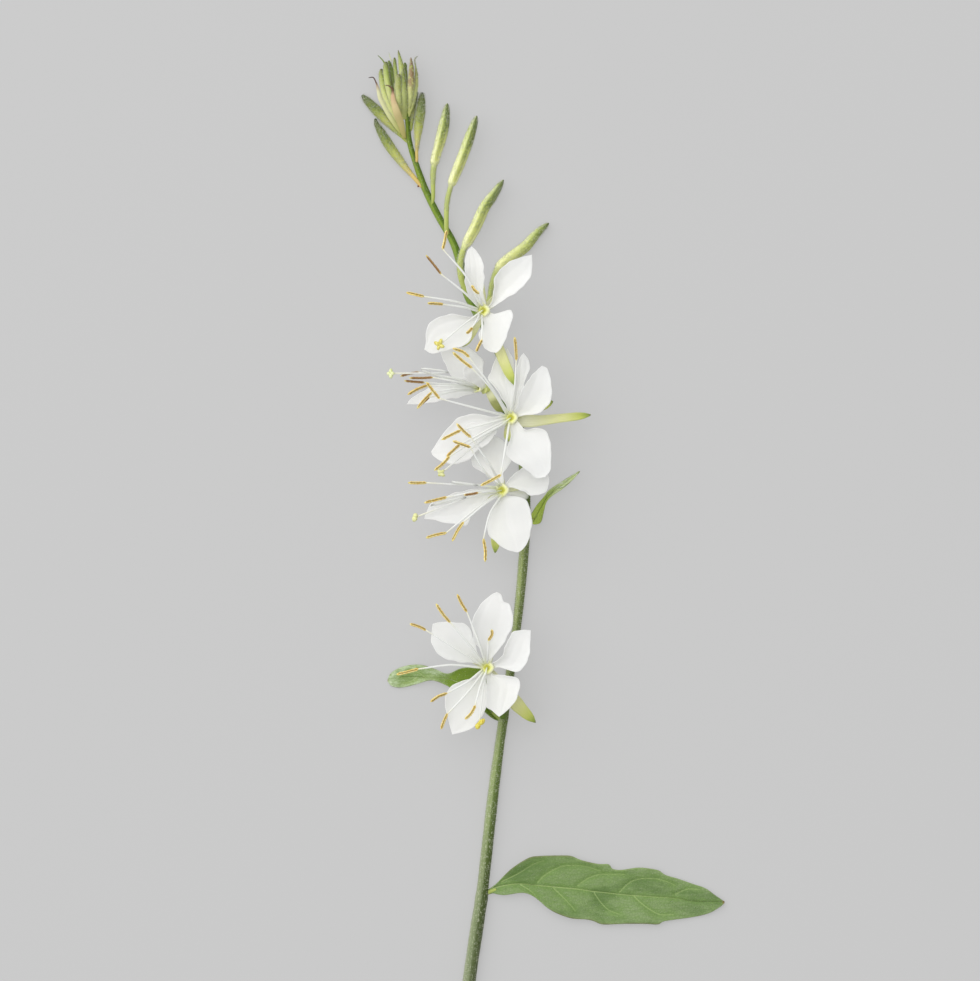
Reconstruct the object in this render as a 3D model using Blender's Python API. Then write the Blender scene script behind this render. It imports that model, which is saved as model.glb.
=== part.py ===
# A cut spray of gaura, lying on its stem with its flowers facing up.
# +Y runs up the stem, +X is the side of the long leaf, and Z = 0 is the surface it lies on.
# Every size below is in millimetres, and the finished solids are scaled to metres.

import math

import bmesh
import bpy
from mathutils import Matrix, Vector

mm = 0.001

# Driving dimensions
blade_thickness = 0.6        # petals, sepals, bracts and leaves
seat_gap = 0.3               # air between a piece and the one that carries it
filament_radius = 0.26
anther_radius = 0.42
stigma_radius = 0.85
hub_radius = 1.15            # the disc that a flower's petals grow from
hub_half_height = 0.45
throat_radius = 0.75         # the button that the stamens grow from
ovary_radius = 0.85
tube_radius = 0.5

# The middle of the stem, from the cut end to the tip, with its radius at each point
stem_route = [
    (-15.3, -91.5), (-13.5, -75.8), (-11.9, -64.8), (-11.1, -59.4), (-9.3, -43.2), (-7.9, -32.4),
    (-6.1, -20.2), (-4.9, -11.7), (-3.9, -1.8), (-3.3, 8.0), (-3.8, 18.0), (-4.7, 25.2),
    (-5.8, 30.6), (-7.5, 36.0), (-9.7, 40.5), (-12.0, 44.3), (-14.0, 48.6), (-15.0, 53.1),
    (-16.4, 57.2), (-18.8, 61.7), (-21.6, 66.5), (-23.6, 71.4), (-24.2, 75.2), (-24.5, 78.3),
]
stem_radii = [
    1.17, 1.15, 1.17, 1.03, 0.99, 0.84, 0.8, 0.78, 0.86, 0.86, 0.86, 0.86,
    0.84, 0.84, 0.82, 0.8, 0.78, 0.76, 0.74, 0.72, 0.66, 0.6, 0.55, 0.45,
]
stem_lift = 2.0              # how far the tip of the stem rises off the surface
stem_lift_from = 66.5        # where along Y that rise starts


def clear_scene():
    for thing in list(bpy.data.objects):
        bpy.data.objects.remove(thing, do_unlink=True)


def paint(name, colour, roughness):
    made = bpy.data.materials.new(name)
    made.use_nodes = True
    shader = made.node_tree.nodes["Principled BSDF"]
    shader.inputs["Base Color"].default_value = (*colour, 1.0)
    shader.inputs["Roughness"].default_value = roughness
    shader.inputs["Metallic"].default_value = 0.0
    return made


def smooth_curve(points, count, steps=12):
    # Even points along a smooth curve that passes through the given ones
    through = [Vector(point) for point in points]
    ends = [2 * through[0] - through[1], *through, 2 * through[-1] - through[-2]]
    fine = []
    for number in range(len(through) - 1):
        before, start, end, after = ends[number:number + 4]
        for step in range(steps):
            t = step / steps
            bend = 2 * before - 5 * start + 4 * end - after
            swing = 3 * start - before - 3 * end + after
            fine.append(0.5 * (2 * start + (end - before) * t + bend * t * t + swing * t ** 3))
    fine.append(through[-1])
    lengths = [0.0]
    for one, two in zip(fine, fine[1:]):
        lengths.append(lengths[-1] + (two - one).length)
    even = []
    place = 0
    for number in range(count):
        wanted = lengths[-1] * number / (count - 1)
        while place < len(fine) - 2 and lengths[place + 1] < wanted:
            place += 1
        span = max(lengths[place + 1] - lengths[place], 1e-9)
        even.append(fine[place].lerp(fine[place + 1], (wanted - lengths[place]) / span))
    return even


def point_along(line, t):
    place = min(max(t, 0.0), 1.0) * (len(line) - 1)
    start = min(int(place), len(line) - 2)
    return line[start].lerp(line[start + 1], place - start)


def value_along(values, t):
    # A smooth value between a few evenly spaced ones
    place = min(max(t, 0.0), 1.0) * (len(values) - 1)
    start = min(int(place), len(values) - 2)
    part = place - start
    ease = part * part * (3 - 2 * part)
    slope = 0.5 * (part + ease)
    return values[start] * (1 - slope) + values[start + 1] * slope


def tube(route, radii, sides):
    # A closed round body that follows a route, with a radius for each of its points
    rings = []
    side = None
    for number, point in enumerate(route):
        ahead = (route[min(number + 1, len(route) - 1)] - route[max(number - 1, 0)]).normalized()
        if side is None:
            side = ahead.cross(Vector((0, 0, 1)) if abs(ahead.z) < 0.9 else Vector((0, 1, 0)))
        side = (side - ahead * side.dot(ahead)).normalized()
        up = side.cross(ahead)
        turns = [2 * math.pi * spoke / sides for spoke in range(sides)]
        rings.append([point + (side * math.cos(a) + up * math.sin(a)) * radii[number] for a in turns])
    return joined_rings(rings)


def joined_rings(rings):
    points = [point for ring in rings for point in ring]
    sides = len(rings[0])
    faces = [tuple(range(sides)), tuple(len(points) - 1 - number for number in range(sides))]
    for ring in range(len(rings) - 1):
        for spoke in range(sides):
            a = ring * sides + spoke
            b = ring * sides + (spoke + 1) % sides
            faces.append((a, b, b + sides))
            faces.append((a, b + sides, a + sides))
    return points, faces


def drawn(one_edge, tip, other_edge, heights, cup=0.5, lean=0.0, root=(0, 0), rib=None):
    # A blade seen in plan: its edges from root to tip, and its heights along the middle.
    # cup lifts both edges, and lean lifts the first edge and lowers the other.
    return {"edges": (one_edge, other_edge), "tip": tip, "root": root, "rib": rib,
            "heights": heights, "cup": cup, "lean": lean}


def drawn_face(drawing, root_half_width=0.45, samples=61):
    # The middle face of a drawn blade, over t from root to tip and v from edge to edge
    root = Vector(drawing["root"])
    tip = Vector(drawing["tip"])
    one_edge, other_edge = drawing["edges"]
    heading = (tip - root).normalized()
    across = Vector((-heading.y, heading.x)) * root_half_width
    if (Vector(one_edge[0]) - root).dot(across) < (Vector(other_edge[0]) - root).dot(across):
        across = -across
    one = smooth_curve([root + across, *one_edge, tip], samples)
    other = smooth_curve([root - across, *other_edge, tip], samples)
    rib = smooth_curve([root, *drawing["rib"], tip], samples) if drawing["rib"] else None

    def middle_face(t, v):
        left = point_along(one, t)
        right = point_along(other, t)
        middle = point_along(rib, t) if rib else (left + right) / 2
        flat = middle.lerp(left if v < 0 else right, abs(v))
        spread = math.sin(math.pi * min(t * 1.15, 1.0) ** 0.8)
        rise = drawing["cup"] * v * v - drawing["lean"] * v
        return Vector((*flat, value_along(drawing["heights"], t) + rise * spread))

    return middle_face


def routed_face(route, widths, cup=0.0):
    # The middle face of a blade that follows a route; its half widths run from root to tip
    line = smooth_curve(route, 41)

    def middle_face(t, v):
        point = point_along(line, t)
        ahead = (point_along(line, t + 0.03) - point_along(line, t - 0.03)).normalized()
        side = ahead.cross(Vector((0, 0, 1))).normalized()
        up = side.cross(ahead)
        return point + (side * v + up * cup * v * v) * value_along(widths, t)

    return middle_face


def blade(middle_face, rows, columns, pointed=False):
    # Both faces are cut into triangles alike, and meet in a narrow rim
    def facing(t, v):
        t = min(max(t, 0.03), 0.94)
        v = min(max(v, -0.97), 0.97)
        along = middle_face(t + 0.03, v) - middle_face(t - 0.03, v)
        across = middle_face(t, v + 0.03) - middle_face(t, v - 0.03)
        normal = along.cross(across).normalized()
        return normal if normal.z >= 0 else -normal

    upper = []
    lower = []
    for row in range(rows):
        t = row / rows if pointed else math.sin(0.5 * math.pi * row / rows) ** 1.15
        for column in range(columns + 1):
            v = 2 * column / columns - 1
            point = middle_face(t, v)
            offset = facing(t, v) * blade_thickness / 2
            upper.append(point + offset)
            lower.append(point - offset)
    point = middle_face(1.0, 0.0)
    offset = facing(1.0, 0.0) * blade_thickness / 2
    upper.append(point + offset)
    lower.append(point - offset)

    points = upper + lower
    under = len(upper)
    tip = under - 1
    width = columns + 1
    faces = []
    rim = []
    for row in range(rows - 1):
        for column in range(columns):
            a = row * width + column
            faces += [(a, a + 1, a + 1 + width), (a, a + 1 + width, a + width)]
    last = (rows - 1) * width
    for column in range(columns):
        faces.append((last + column, last + column + 1, tip))
        rim.append((column + 1, column))
    for row in range(rows - 1):
        rim.append((row * width, (row + 1) * width))
        rim.append(((row + 1) * width + columns, row * width + columns))
    rim += [(last, tip), (tip, last + columns)]
    faces += [tuple(under + corner for corner in reversed(face)) for face in faces]
    for a, b in rim:
        faces += [(a, b, under + b), (a, under + b, under + a)]
    return points, faces


def star(centre, facing, radius, thickness, lobes):
    # A flat cross of lobes with a raised middle, such as a stigma
    facing = Vector(facing).normalized()
    side = facing.cross(Vector((0.3, 1, 0.2))).normalized()
    up = side.cross(facing)
    points = []
    for level in (-0.5, 0.5):
        for spoke in range(2 * lobes):
            reach = radius if spoke % 2 == 0 else radius * 0.45
            turn = math.pi * spoke / lobes
            points.append(Vector(centre) + facing * thickness * level
                          + (side * math.cos(turn) + up * math.sin(turn)) * reach)
    count = 2 * lobes
    points += [Vector(centre) - facing * thickness, Vector(centre) + facing * thickness]
    faces = []
    for spoke in range(count):
        after = (spoke + 1) % count
        faces += [(spoke, after, count + after), (spoke, count + after, count + spoke)]
        faces += [(after, spoke, 2 * count), (count + spoke, count + after, 2 * count + 1)]
    return points, faces


def let_down(shape):
    # The shape moved straight down until its lowest point touches the surface
    points, faces = shape
    lowest = min(point.z for point in points)
    return [point - Vector((0, 0, lowest)) for point in points], faces


def solid(name, shape):
    # One closed shape as an object, with all its faces turned outwards
    points, faces = shape
    mesh = bpy.data.meshes.new(name)
    mesh.from_pydata([tuple(point) for point in points], [], faces)
    form = bmesh.new()
    form.from_mesh(mesh)
    bmesh.ops.triangulate(form, faces=form.faces[:])
    bmesh.ops.recalc_face_normals(form, faces=form.faces[:])
    form.to_mesh(mesh)
    form.free()
    return bpy.data.objects.new(name, mesh)


def finished(name, shapes, material):
    # One closed body from overlapping shapes, in metres, with its material
    body = solid(name, shapes[0])
    bpy.context.scene.collection.objects.link(body)
    if len(shapes) > 1:
        joined = bpy.data.collections.new(name + "_pieces")
        bpy.context.scene.collection.children.link(joined)
        for number, shape in enumerate(shapes[1:]):
            joined.objects.link(solid(f"{name}_piece_{number}", shape))
        union = body.modifiers.new("Union", "BOOLEAN")
        union.operation = "UNION"
        union.solver = "MANIFOLD"
        union.operand_type = "COLLECTION"
        union.collection = joined
        whole = body.evaluated_get(bpy.context.evaluated_depsgraph_get())
        mesh = bpy.data.meshes.new_from_object(whole)
        body.modifiers.clear()
        body.data = mesh
        for piece in list(joined.objects):
            bpy.data.objects.remove(piece, do_unlink=True)
        bpy.data.collections.remove(joined)
    body.data.transform(Matrix.Scale(mm, 4))
    body.data.materials.clear()
    body.data.materials.append(material)
    body.data.shade_smooth()
    body.data.set_sharp_from_angle(angle=math.radians(50))
    return body


def stem_shape(sides=10, rings=34):
    # The stem lies along the surface on one flat side, so its lowest facets are all at Z = 0
    middle = smooth_curve([(*point, 0.0) for point in stem_route], rings)
    flat = math.cos(math.pi / sides)
    loops = []
    for number, point in enumerate(middle):
        ahead = middle[min(number + 1, rings - 1)] - middle[max(number - 1, 0)]
        across = Vector((ahead.y, -ahead.x, 0)).normalized()
        radius = stem_radius_at(point)
        rise = radius * flat + stem_rise_at(point.y)
        ring = []
        for spoke in range(sides):
            turn = 2 * math.pi * (spoke + 0.5) / sides - 0.5 * math.pi
            out = across * math.cos(turn) + Vector((0, 0, 1)) * math.sin(turn)
            ring.append(point + Vector((0, 0, rise)) + out * radius)
        loops.append(ring)
    return joined_rings(loops)


def stem_radius_at(point):
    nearest = min(range(len(stem_route)), key=lambda k: (Vector(stem_route[k]) - point.xy).length)
    return stem_radii[nearest]


def stem_rise_at(y):
    share = max(0.0, (y - stem_lift_from) / (stem_route[-1][1] - stem_lift_from))
    return stem_lift * share * share


def flower_disc(centre, facing, low, high, radius):
    # A short round button across the axis of a flower
    axis = Vector(facing).normalized()
    route = [Vector(centre) + axis * (low + (high - low) * step / 3) for step in range(4)]
    return tube(route, [radius * 0.8, radius, radius, radius * 0.55], 7)


def petals_of(flower):
    centre = Vector(flower["centre"])
    shapes = [flower_disc(centre, flower["facing"], -hub_half_height, hub_half_height, hub_radius)]
    for drawing in flower["petals"]:
        points, faces = blade(drawn_face(drawing), 6, 4)
        shapes.append(([centre + point for point in points], faces))
    return shapes


def calyx_of(flower):
    # The ovary sits on the stem, and the narrow tube above it widens under the petals
    centre = Vector(flower["centre"])
    axis = Vector(flower["facing"]).normalized()
    top = centre - axis * (hub_half_height + seat_gap + 0.15)
    route = [centre + Vector(point) for point in flower["stalk"]]
    line = smooth_curve([*route, top - axis * 0.9], 8) + [top]
    radii = [0.4, 0.7, ovary_radius, 0.7, tube_radius, tube_radius, tube_radius, 0.6, 0.85]
    shapes = [tube(line, radii, 7)]
    for sepal in flower["sepals"]:
        route = [centre + Vector(point) for point in sepal]
        shapes.append(blade(routed_face(route, (0.5, 0.85, 0.95, 0.8, 0.45), cup=0.25), 5, 2))
    return shapes


def stamens_of(flower):
    centre = Vector(flower["centre"])
    axis = Vector(flower["facing"]).normalized()
    low = hub_half_height + seat_gap + 0.2
    shapes = [flower_disc(centre, axis, low, low + 0.9, throat_radius)]
    start = centre + axis * (low + 0.4)
    for far, near, lift, through in flower["stamens"]:
        route = filament_route(start, axis, centre, [*through, near], lift)
        end = centre + Vector((*far, lift + 0.2))
        middle = route[-1].lerp(end, 0.5)
        radii = [filament_radius] * len(route) + [anther_radius, anther_radius * 0.6]
        shapes.append(tube([*route, middle, end], radii, 3))
    tip, lift, through = flower["style"]
    route = filament_route(start, axis, centre, [*through, tip], lift)
    shapes.append(tube(route, [filament_radius] * len(route), 3))
    shapes.append(star(route[-1], route[-1] - route[-2], stigma_radius, 0.5, 4))
    return shapes


def filament_route(start, axis, centre, through, lift):
    # A filament leaves along the flower's axis and bends over towards its anther
    reach = [Vector(point).length for point in through]
    route = [start]
    for point, distance in zip(through, reach):
        share = distance / reach[-1]
        height = start.z - centre.z + (lift - start.z + centre.z) * math.sin(0.5 * math.pi * share)
        route.append(centre + Vector((*point, height)))
    first = start + axis * 0.4 + (route[1] - start) * 0.08
    return smooth_curve([start, first, *route[1:]], 5)


# Flowers. All points are measured from the throat, where the petals meet.
# A stamen is (far end of the anther, near end, height, points its filament passes).
flower_a = {
    "centre": (-10.8, 44.8, 10.5),
    "facing": (-0.25, 0.05, 1.0),
    "petals": [
        drawn([(-1.1, 1.1), (-2.8, 2.7), (-3.4, 5.6), (-3.4, 8.3), (-3.1, 10.4)], (-2.2, 11.5),
              [(0.4, 1.3), (-0.1, 2.7), (0.0, 5.6), (-0.1, 8.1), (-1.1, 10.4)],
              (0, 1.0, 1.6, 1.4), cup=0.6),
        drawn([(1.3, 1.3), (1.7, 3.8), (2.0, 5.9), (3.1, 7.6), (5.6, 9.2)], (8.6, 10.0),
              [(1.8, 0.8), (3.4, 1.8), (5.6, 3.2), (7.4, 4.7), (8.6, 7.0)],
              (0, 0.9, 1.4, 1.2), cup=0.7),
        drawn([(1.8, -0.6), (3.4, -0.2), (5.0, 0.1), (5.0, -1.6), (4.1, -4.5), (3.1, -6.7)],
              (2.2, -7.6), [(0.0, -2.5), (-0.8, -3.8), (-0.7, -5.4), (0.7, -7.2)],
              (0, 0.9, 1.7, 2.0), cup=0.4),
        drawn([(-2.0, -1.1), (-5.2, -0.7), (-7.4, -0.9), (-9.4, -2.0), (-10.4, -3.6), (-10.4, -5.6)],
              (-10.7, -7.0),
              [(-1.9, -2.9), (-2.2, -4.5), (-3.4, -6.3), (-5.2, -6.7), (-7.4, -7.4), (-9.4, -7.7)],
              (0, 0.2, 0.2, -0.2), cup=0.6),
    ],
    "sepals": [
        [(-0.2, -0.2, -1.35), (-2.0, -3.4, -1.0), (-4.0, -6.5, -0.8)],
        [(0.1, -0.2, -1.35), (2.0, -5.0, -0.4), (3.8, -9.7, 0.6), (5.6, -13.5, 0.9)],
        [(0.0, 0.2, -1.35), (-0.8, 4.0, -1.4), (-1.6, 7.5, -2.0)],
        [(0.2, 0.2, -1.35), (3.0, 3.0, -1.3), (5.2, 5.6, -1.9)],
    ],
    "stalk": [(-0.9, -0.9, -8.5), (-0.9, -0.6, -6.0), (-0.2, -0.2, -3.2)],
    "stamens": [
        ((-10.4, 9.9), (-7.7, 6.5), 5.5, [(-3.5, 3.2)]),
        ((-6.7, 14.4), (-7.4, 11.0), 5.0, [(-3.2, 6.1)]),
        ((-13.9, 3.2), (-10.8, 2.5), 6.0, [(-5.2, 1.6)]),
        ((-10.1, 1.3), (-7.4, 1.1), 4.5, [(-3.8, 0.6)]),
        ((-2.2, 4.5), (-1.0, 3.1), 6.5, [(-0.6, 1.6)]),
        ((-3.2, -4.1), (-2.2, -3.2), 5.0, [(-1.2, -1.6)]),
        ((-1.4, -7.4), (-0.4, -5.4), 5.2, [(-0.3, -2.8)]),
    ],
    "style": ((-7.9, -6.1), 3.2, [(-4.5, -3.2)]),
}

flower_b = {
    "centre": (-11.2, 30.8, 6.5),
    "facing": (-0.8, 0.05, 0.6),
    "petals": [
        drawn([(-2.3, 1.3), (-5.4, 2.2), (-6.7, 4.9), (-7.4, 6.7)], (-5.8, 8.3),
              [(0.2, 2.5), (0.2, 4.9), (-1.1, 6.5), (-3.2, 7.7)],
              (-0.1, -1.9, -1.7, -0.6), cup=0.4),
        drawn([(-1.4, 0.9), (-2.9, 1.9), (-3.3, 3.4)], (-2.6, 4.3),
              [(0.1, 1.6), (-0.3, 3.0), (-1.2, 3.9)],
              (0.7, 3.2, 5.0, 5.8), cup=0.2, root=(0.5, 0.1)),
        drawn([(-1.0, -0.7), (-3.6, -1.4), (-6.3, -1.9), (-10.3, -2.7)], (-13.5, -2.8),
              [(-2.7, 0.5), (-5.6, 1.0), (-9.0, 0.4), (-12.4, -1.6)],
              (-0.7, -1.4, -0.8, 0.0), cup=0.0, lean=0.8, root=(-0.2, -0.1)),
        drawn([(-1.9, 0.7), (-4.6, 2.6), (-5.9, 4.6)], (-5.2, 6.4),
              [(-0.3, 1.8), (-0.9, 4.4), (-3.0, 6.2)],
              (-0.2, -2.8, -3.8, -4.6), cup=0.3),
    ],
    "sepals": [
        [(1.1, -0.1, -0.8), (2.0, -1.6, 0.0), (2.8, -2.9, 0.4), (3.8, -4.1, 0.2)],
    ],
    "stalk": [(4.5, -4.0, -4.9), (3.3, -2.9, -3.6), (2.3, -1.4, -2.3)],
    "stamens": [
        ((-14.6, 2.2), (-11.3, 2.9), 4.5, [(-5.6, 2.0)]),
        ((-13.0, 1.9), (-8.8, 2.0), 6.0, [(-4.4, 1.2)]),
        ((-13.9, 1.4), (-10.3, 1.1), 3.2, [(-5.2, 0.7)]),
        ((-13.3, -1.1), (-9.7, 0.6), 4.8, [(-4.9, 0.4)]),
        ((-11.6, -3.6), (-9.0, -0.7), 6.2, [(-4.5, 0.0)]),
        ((-11.0, -2.9), (-9.5, -1.6), 3.4, [(-4.8, -0.4)]),
    ],
    "style": ((-16.2, 2.7), 6.2, [(-11.2, 3.5), (-5.8, 2.9)]),
}

flower_c = {
    "centre": (-5.8, 25.6, 10.0),
    "facing": (-0.25, -0.05, 1.0),
    "petals": [
        drawn([(-1.1, 2.3), (-2.5, 4.7), (-4.1, 6.8), (-3.8, 8.3), (-3.1, 10.1), (-2.2, 11.7)],
              (-0.9, 12.6), [(0.2, 2.3), (0.4, 4.7), (0.5, 7.7), (0.2, 10.4)],
              (0, -0.5, -1.2, -1.6)),
        drawn([(0.4, 2.6), (0.5, 4.7), (0.8, 6.5), (0.9, 8.6), (1.4, 10.6)], (2.1, 11.6),
              [(1.0, 2.4), (1.6, 4.2), (2.3, 6.4), (3.1, 8.6), (3.1, 10.1)],
              (0, -0.5, -0.9, -0.6), cup=0.2),
        drawn([(1.0, 2.0), (1.2, 3.6), (2.5, 6.1), (4.2, 8.2)], (5.4, 9.3),
              [(2.2, 0.4), (4.5, 0.7), (6.0, 1.6), (7.2, 4.0), (6.9, 6.8), (6.4, 8.7)],
              (0, 0.6, 0.9, 0.6), cup=0.7),
        drawn([(-0.2, -3.2), (-0.9, -5.8), (-0.5, -7.5), (1.3, -8.4), (2.7, -9.5), (4.2, -10.8)],
              (6.0, -10.7),
              [(2.3, -2.1), (4.2, -1.9), (5.6, -2.2), (6.7, -3.3), (7.0, -5.8), (7.0, -9.1)],
              (0, 0.4, 0.6, 0.0), cup=0.6),
        drawn([(-4.0, 0.2), (-6.5, 0.7), (-8.5, 0.4), (-10.1, -0.5), (-11.9, -2.3), (-13.3, -4.3)],
              (-14.5, -6.1),
              [(-2.9, -2.3), (-4.7, -4.3), (-6.5, -6.3), (-8.1, -7.7), (-10.1, -8.4), (-12.2, -8.0),
               (-14.0, -7.0)],
              (0, -0.5, -1.2, -2.0)),
        drawn([(-2.9, -0.9), (-5.2, -0.7), (-7.8, -1.1), (-8.3, -1.8), (-7.4, -2.9), (-6.2, -4.4)],
              (-5.4, -5.5), [(-1.6, -1.6), (-2.4, -2.1), (-3.1, -3.1), (-3.9, -4.3)],
              (0, 0.6, 0.7, 0.5), cup=0.0),
    ],
    "sepals": [
        [(0.2, 0.0, -1.35), (5.0, 0.5, -1.5), (10.0, 0.6, -2.4), (14.2, 0.5, -3.4)],
        [(0.2, 0.1, -1.35), (3.6, 1.5, -1.35), (7.4, 2.9, -1.6)],
        [(-0.1, -0.2, -1.35), (-0.4, -2.0, -1.1), (-0.6, -4.3, -1.2)],
        [(0.1, 0.2, -1.35), (0.7, 2.0, -1.7), (1.4, 4.0, -2.2)],
    ],
    "stalk": [(0.9, -0.4, -7.9), (0.8, -0.3, -5.6), (0.4, -0.0, -3.0)],
    "stamens": [
        ((-10.6, 12.4), (-7.7, 10.8), 7.6, [(-4.1, 6.1)]),
        ((-10.6, 11.7), (-7.2, 8.9), 6.4, [(-3.6, 5.0)]),
        ((0.5, 14.4), (0.8, 10.3), 6.5, [(0.5, 5.2)]),
        ((-12.6, -4.0), (-9.2, -2.3), 3.2, [(-5.0, -1.2)]),
        ((-15.3, 6.3), (-13.0, 3.4), 7.0, [(-5.8, 1.5)]),
        ((-5.6, -12.2), (-2.0, -10.3), 5.0, [(-1.1, -5.0)]),
        ((-11.7, -7.0), (-9.4, -4.9), 3.4, [(-4.8, -2.4)]),
        ((-13.9, -9.5), (-11.2, -7.0), 4.6, [(-5.6, -3.4)]),
    ],
    "style": ((-12.6, -9.9), 2.6, [(-6.6, -5.0)]),
}

flower_d = {
    "centre": (-7.4, 12.6, 8.5),
    "facing": (-0.25, -0.05, 1.0),
    "petals": [
        drawn([(-2.3, 2.3), (-3.6, 3.1), (-5.3, 4.3), (-5.8, 5.6), (-5.2, 7.2), (-4.1, 8.8)],
              (-2.3, 9.7),
              [(0.0, 2.8), (0.8, 4.0), (1.4, 5.4), (1.2, 7.0), (0.5, 8.2), (-0.7, 9.4)],
              (0, -0.9, -1.6, -2.2), cup=0.3),
        drawn([(1.6, 2.4), (3.2, 3.8), (5.4, 4.2), (7.4, 3.6)], (8.3, 2.2),
              [(1.6, 0.5), (3.5, -0.3), (5.5, -0.8), (7.2, -0.5), (8.2, 0.9)],
              (0, -0.3, -0.6, -1.0), cup=0.3),
        drawn([(0.7, -1.0), (2.6, -1.3), (4.1, -2.4), (5.0, -4.6), (5.2, -6.5), (4.5, -9.2), (3.5, -10.7)],
              (2.6, -11.2),
              [(-1.1, -1.7), (-2.0, -3.4), (-2.8, -5.7), (-2.6, -7.8), (-1.3, -9.4), (0.7, -10.7)],
              (0, 0.6, 0.7, 0.0), cup=-0.6),
        drawn([(-2.6, 0.1), (-4.3, 0.2), (-7.0, -0.1), (-10.1, -1.1), (-12.8, -2.4), (-13.9, -4.4)],
              (-14.1, -5.2),
              [(-2.0, -0.9), (-3.6, -2.4), (-5.5, -4.6), (-6.7, -6.4), (-7.8, -6.1), (-9.9, -6.0),
               (-12.2, -5.4)],
              (0, 0.5, 0.5, 0.0)),
    ],
    "sepals": [
        [(0.0, -0.2, -1.35), (-1.0, -5.5, -1.3), (-1.4, -11.3, -1.5)],
        [(-0.2, 0.0, -1.35), (-3.8, -1.0, -1.5), (-7.0, -2.4, -2.0)],
        [(0.2, 0.1, -1.35), (3.3, 1.0, -1.9), (6.0, 1.3, -2.6)],
        [(0.0, 0.2, -1.35), (-1.2, 3.4, -2.5), (-2.0, 6.0, -3.3)],
    ],
    "stalk": [(4.0, -1.2, -6.4), (3.5, -1.0, -4.6), (1.6, -0.4, -2.8)],
    "stamens": [
        ((-17.0, 1.3), (-13.8, 1.3), 5.5, [(-9.4, 1.5), (-4.5, 0.8)]),
        ((-14.1, -2.3), (-10.1, -1.3), 4.5, [(-5.0, -0.3)]),
        ((-7.0, -0.9), (-4.5, -0.5), 6.0, [(-2.2, -0.2)]),
        ((-13.8, -8.6), (-10.2, -7.7), 3.0, [(-5.2, -3.6)]),
        ((-9.1, -9.2), (-7.1, -5.8), 4.8, [(-3.6, -2.8)]),
        ((-3.2, -12.9), (-3.5, -8.8), 3.0, [(-2.4, -4.4)]),
        ((-8.3, 11.9), (-5.8, 9.5), 9.0, [(-2.4, 4.6)]),
        ((-9.0, 8.8), (-5.9, 7.7), 7.6, [(-3.2, 3.2)]),
    ],
    "style": ((-15.7, -4.9), 3.2, [(-13.0, -2.8), (-6.4, -1.2)]),
}

flower_e = {
    "centre": (-10.1, -19.3, 8.5),
    "facing": (-0.2, 0.0, 1.0),
    "petals": [
        drawn([(-1.7, 2.4), (-2.4, 4.7), (-3.2, 6.9), (-4.3, 7.9), (-6.1, 8.2), (-8.5, 8.2)],
              (-9.9, 7.9),
              [(-2.4, 0.8), (-4.8, 1.0), (-7.3, 1.5), (-9.1, 2.7), (-10.1, 4.3), (-10.1, 6.2)],
              (0, 0.5, 0.6, 0.3)),
        drawn([(-1.3, 3.2), (-2.4, 4.7), (-2.9, 7.7), (-2.0, 10.1), (-0.4, 11.8)], (1.4, 13.4),
              [(0.8, 1.7), (2.2, 3.6), (3.5, 5.5), (4.4, 7.7), (4.3, 10.3), (3.5, 11.4), (2.5, 12.2)],
              (0, 1.0, 1.5, 1.2), cup=0.6),
        drawn([(2.2, 1.7), (3.3, 4.2), (4.3, 6.2), (6.1, 6.8)], (7.7, 6.7),
              [(1.8, 0.1), (3.5, -0.3), (5.0, -0.8), (6.3, 0.1), (7.3, 1.7), (7.6, 4.3)],
              (0, 0.6, 1.0, 0.8), cup=0.6),
        drawn([(0.9, -1.35), (2.1, -1.3), (4.5, -1.6), (5.7, -2.5), (5.6, -4.2), (4.7, -6.3), (3.2, -7.9)],
              (2.0, -8.8), [(-0.2, -2.9), (-0.4, -5.3), (-0.2, -7.0), (0.7, -7.7)],
              (0, 0.3, 0.4, 0.2)),
        drawn([(-2.4, -1.8), (-5.2, -2.5), (-7.1, -4.0), (-7.8, -5.9), (-7.4, -7.9), (-6.9, -10.2)],
              (-6.4, -12.0),
              [(-0.4, -2.0), (0.0, -3.8), (-0.2, -6.4), (-0.9, -8.5), (-2.0, -10.0), (-3.3, -11.1),
               (-4.8, -11.6)],
              (0, 0.2, 0.2, -0.2)),
    ],
    "sepals": [
        [(0.1, -0.2, -1.35), (3.0, -3.8, -1.6), (5.6, -7.0, -3.0), (8.6, -9.9, -4.6)],
        [(0.0, 0.2, -1.35), (0.3, 4.2, -1.3), (0.8, 7.6, -1.8)],
        [(-0.2, 0.1, -1.35), (-3.6, 2.4, -1.4), (-6.4, 3.9, -2.0)],
        [(-0.1, -0.2, -1.35), (-2.4, -3.8, -1.5), (-3.8, -7.0, -2.2)],
    ],
    "stalk": [(2.6, -8.4, -6.0), (1.7, -6.0, -5.4), (0.8, -2.8, -3.9)],
    "stamens": [
        ((-5.5, 13.2), (-3.8, 10.1), 5.0, [(-1.8, 5.0)]),
        ((-9.3, 11.5), (-6.8, 8.2), 5.5, [(-3.2, 4.0)]),
        ((-14.0, 7.9), (-11.2, 6.8), 5.0, [(-5.4, 3.2)]),
        ((0.7, 6.9), (0.1, 5.0), 6.5, [(0.0, 2.6)]),
        ((-16.4, -1.35), (-12.5, -0.2), 5.0, [(-6.8, 0.5)]),
        ((-10.3, -6.1), (-7.4, -4.6), 4.0, [(-3.8, -2.6)]),
        ((-8.4, -11.0), (-7.3, -8.3), 3.6, [(-3.8, -4.6)]),
        ((-4.1, -9.2), (-2.3, -6.8), 5.0, [(-1.4, -3.4)]),
    ],
    "style": ((-1.6, -10.1), 3.2, [(-1.0, -5.0)]),
}

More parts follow.
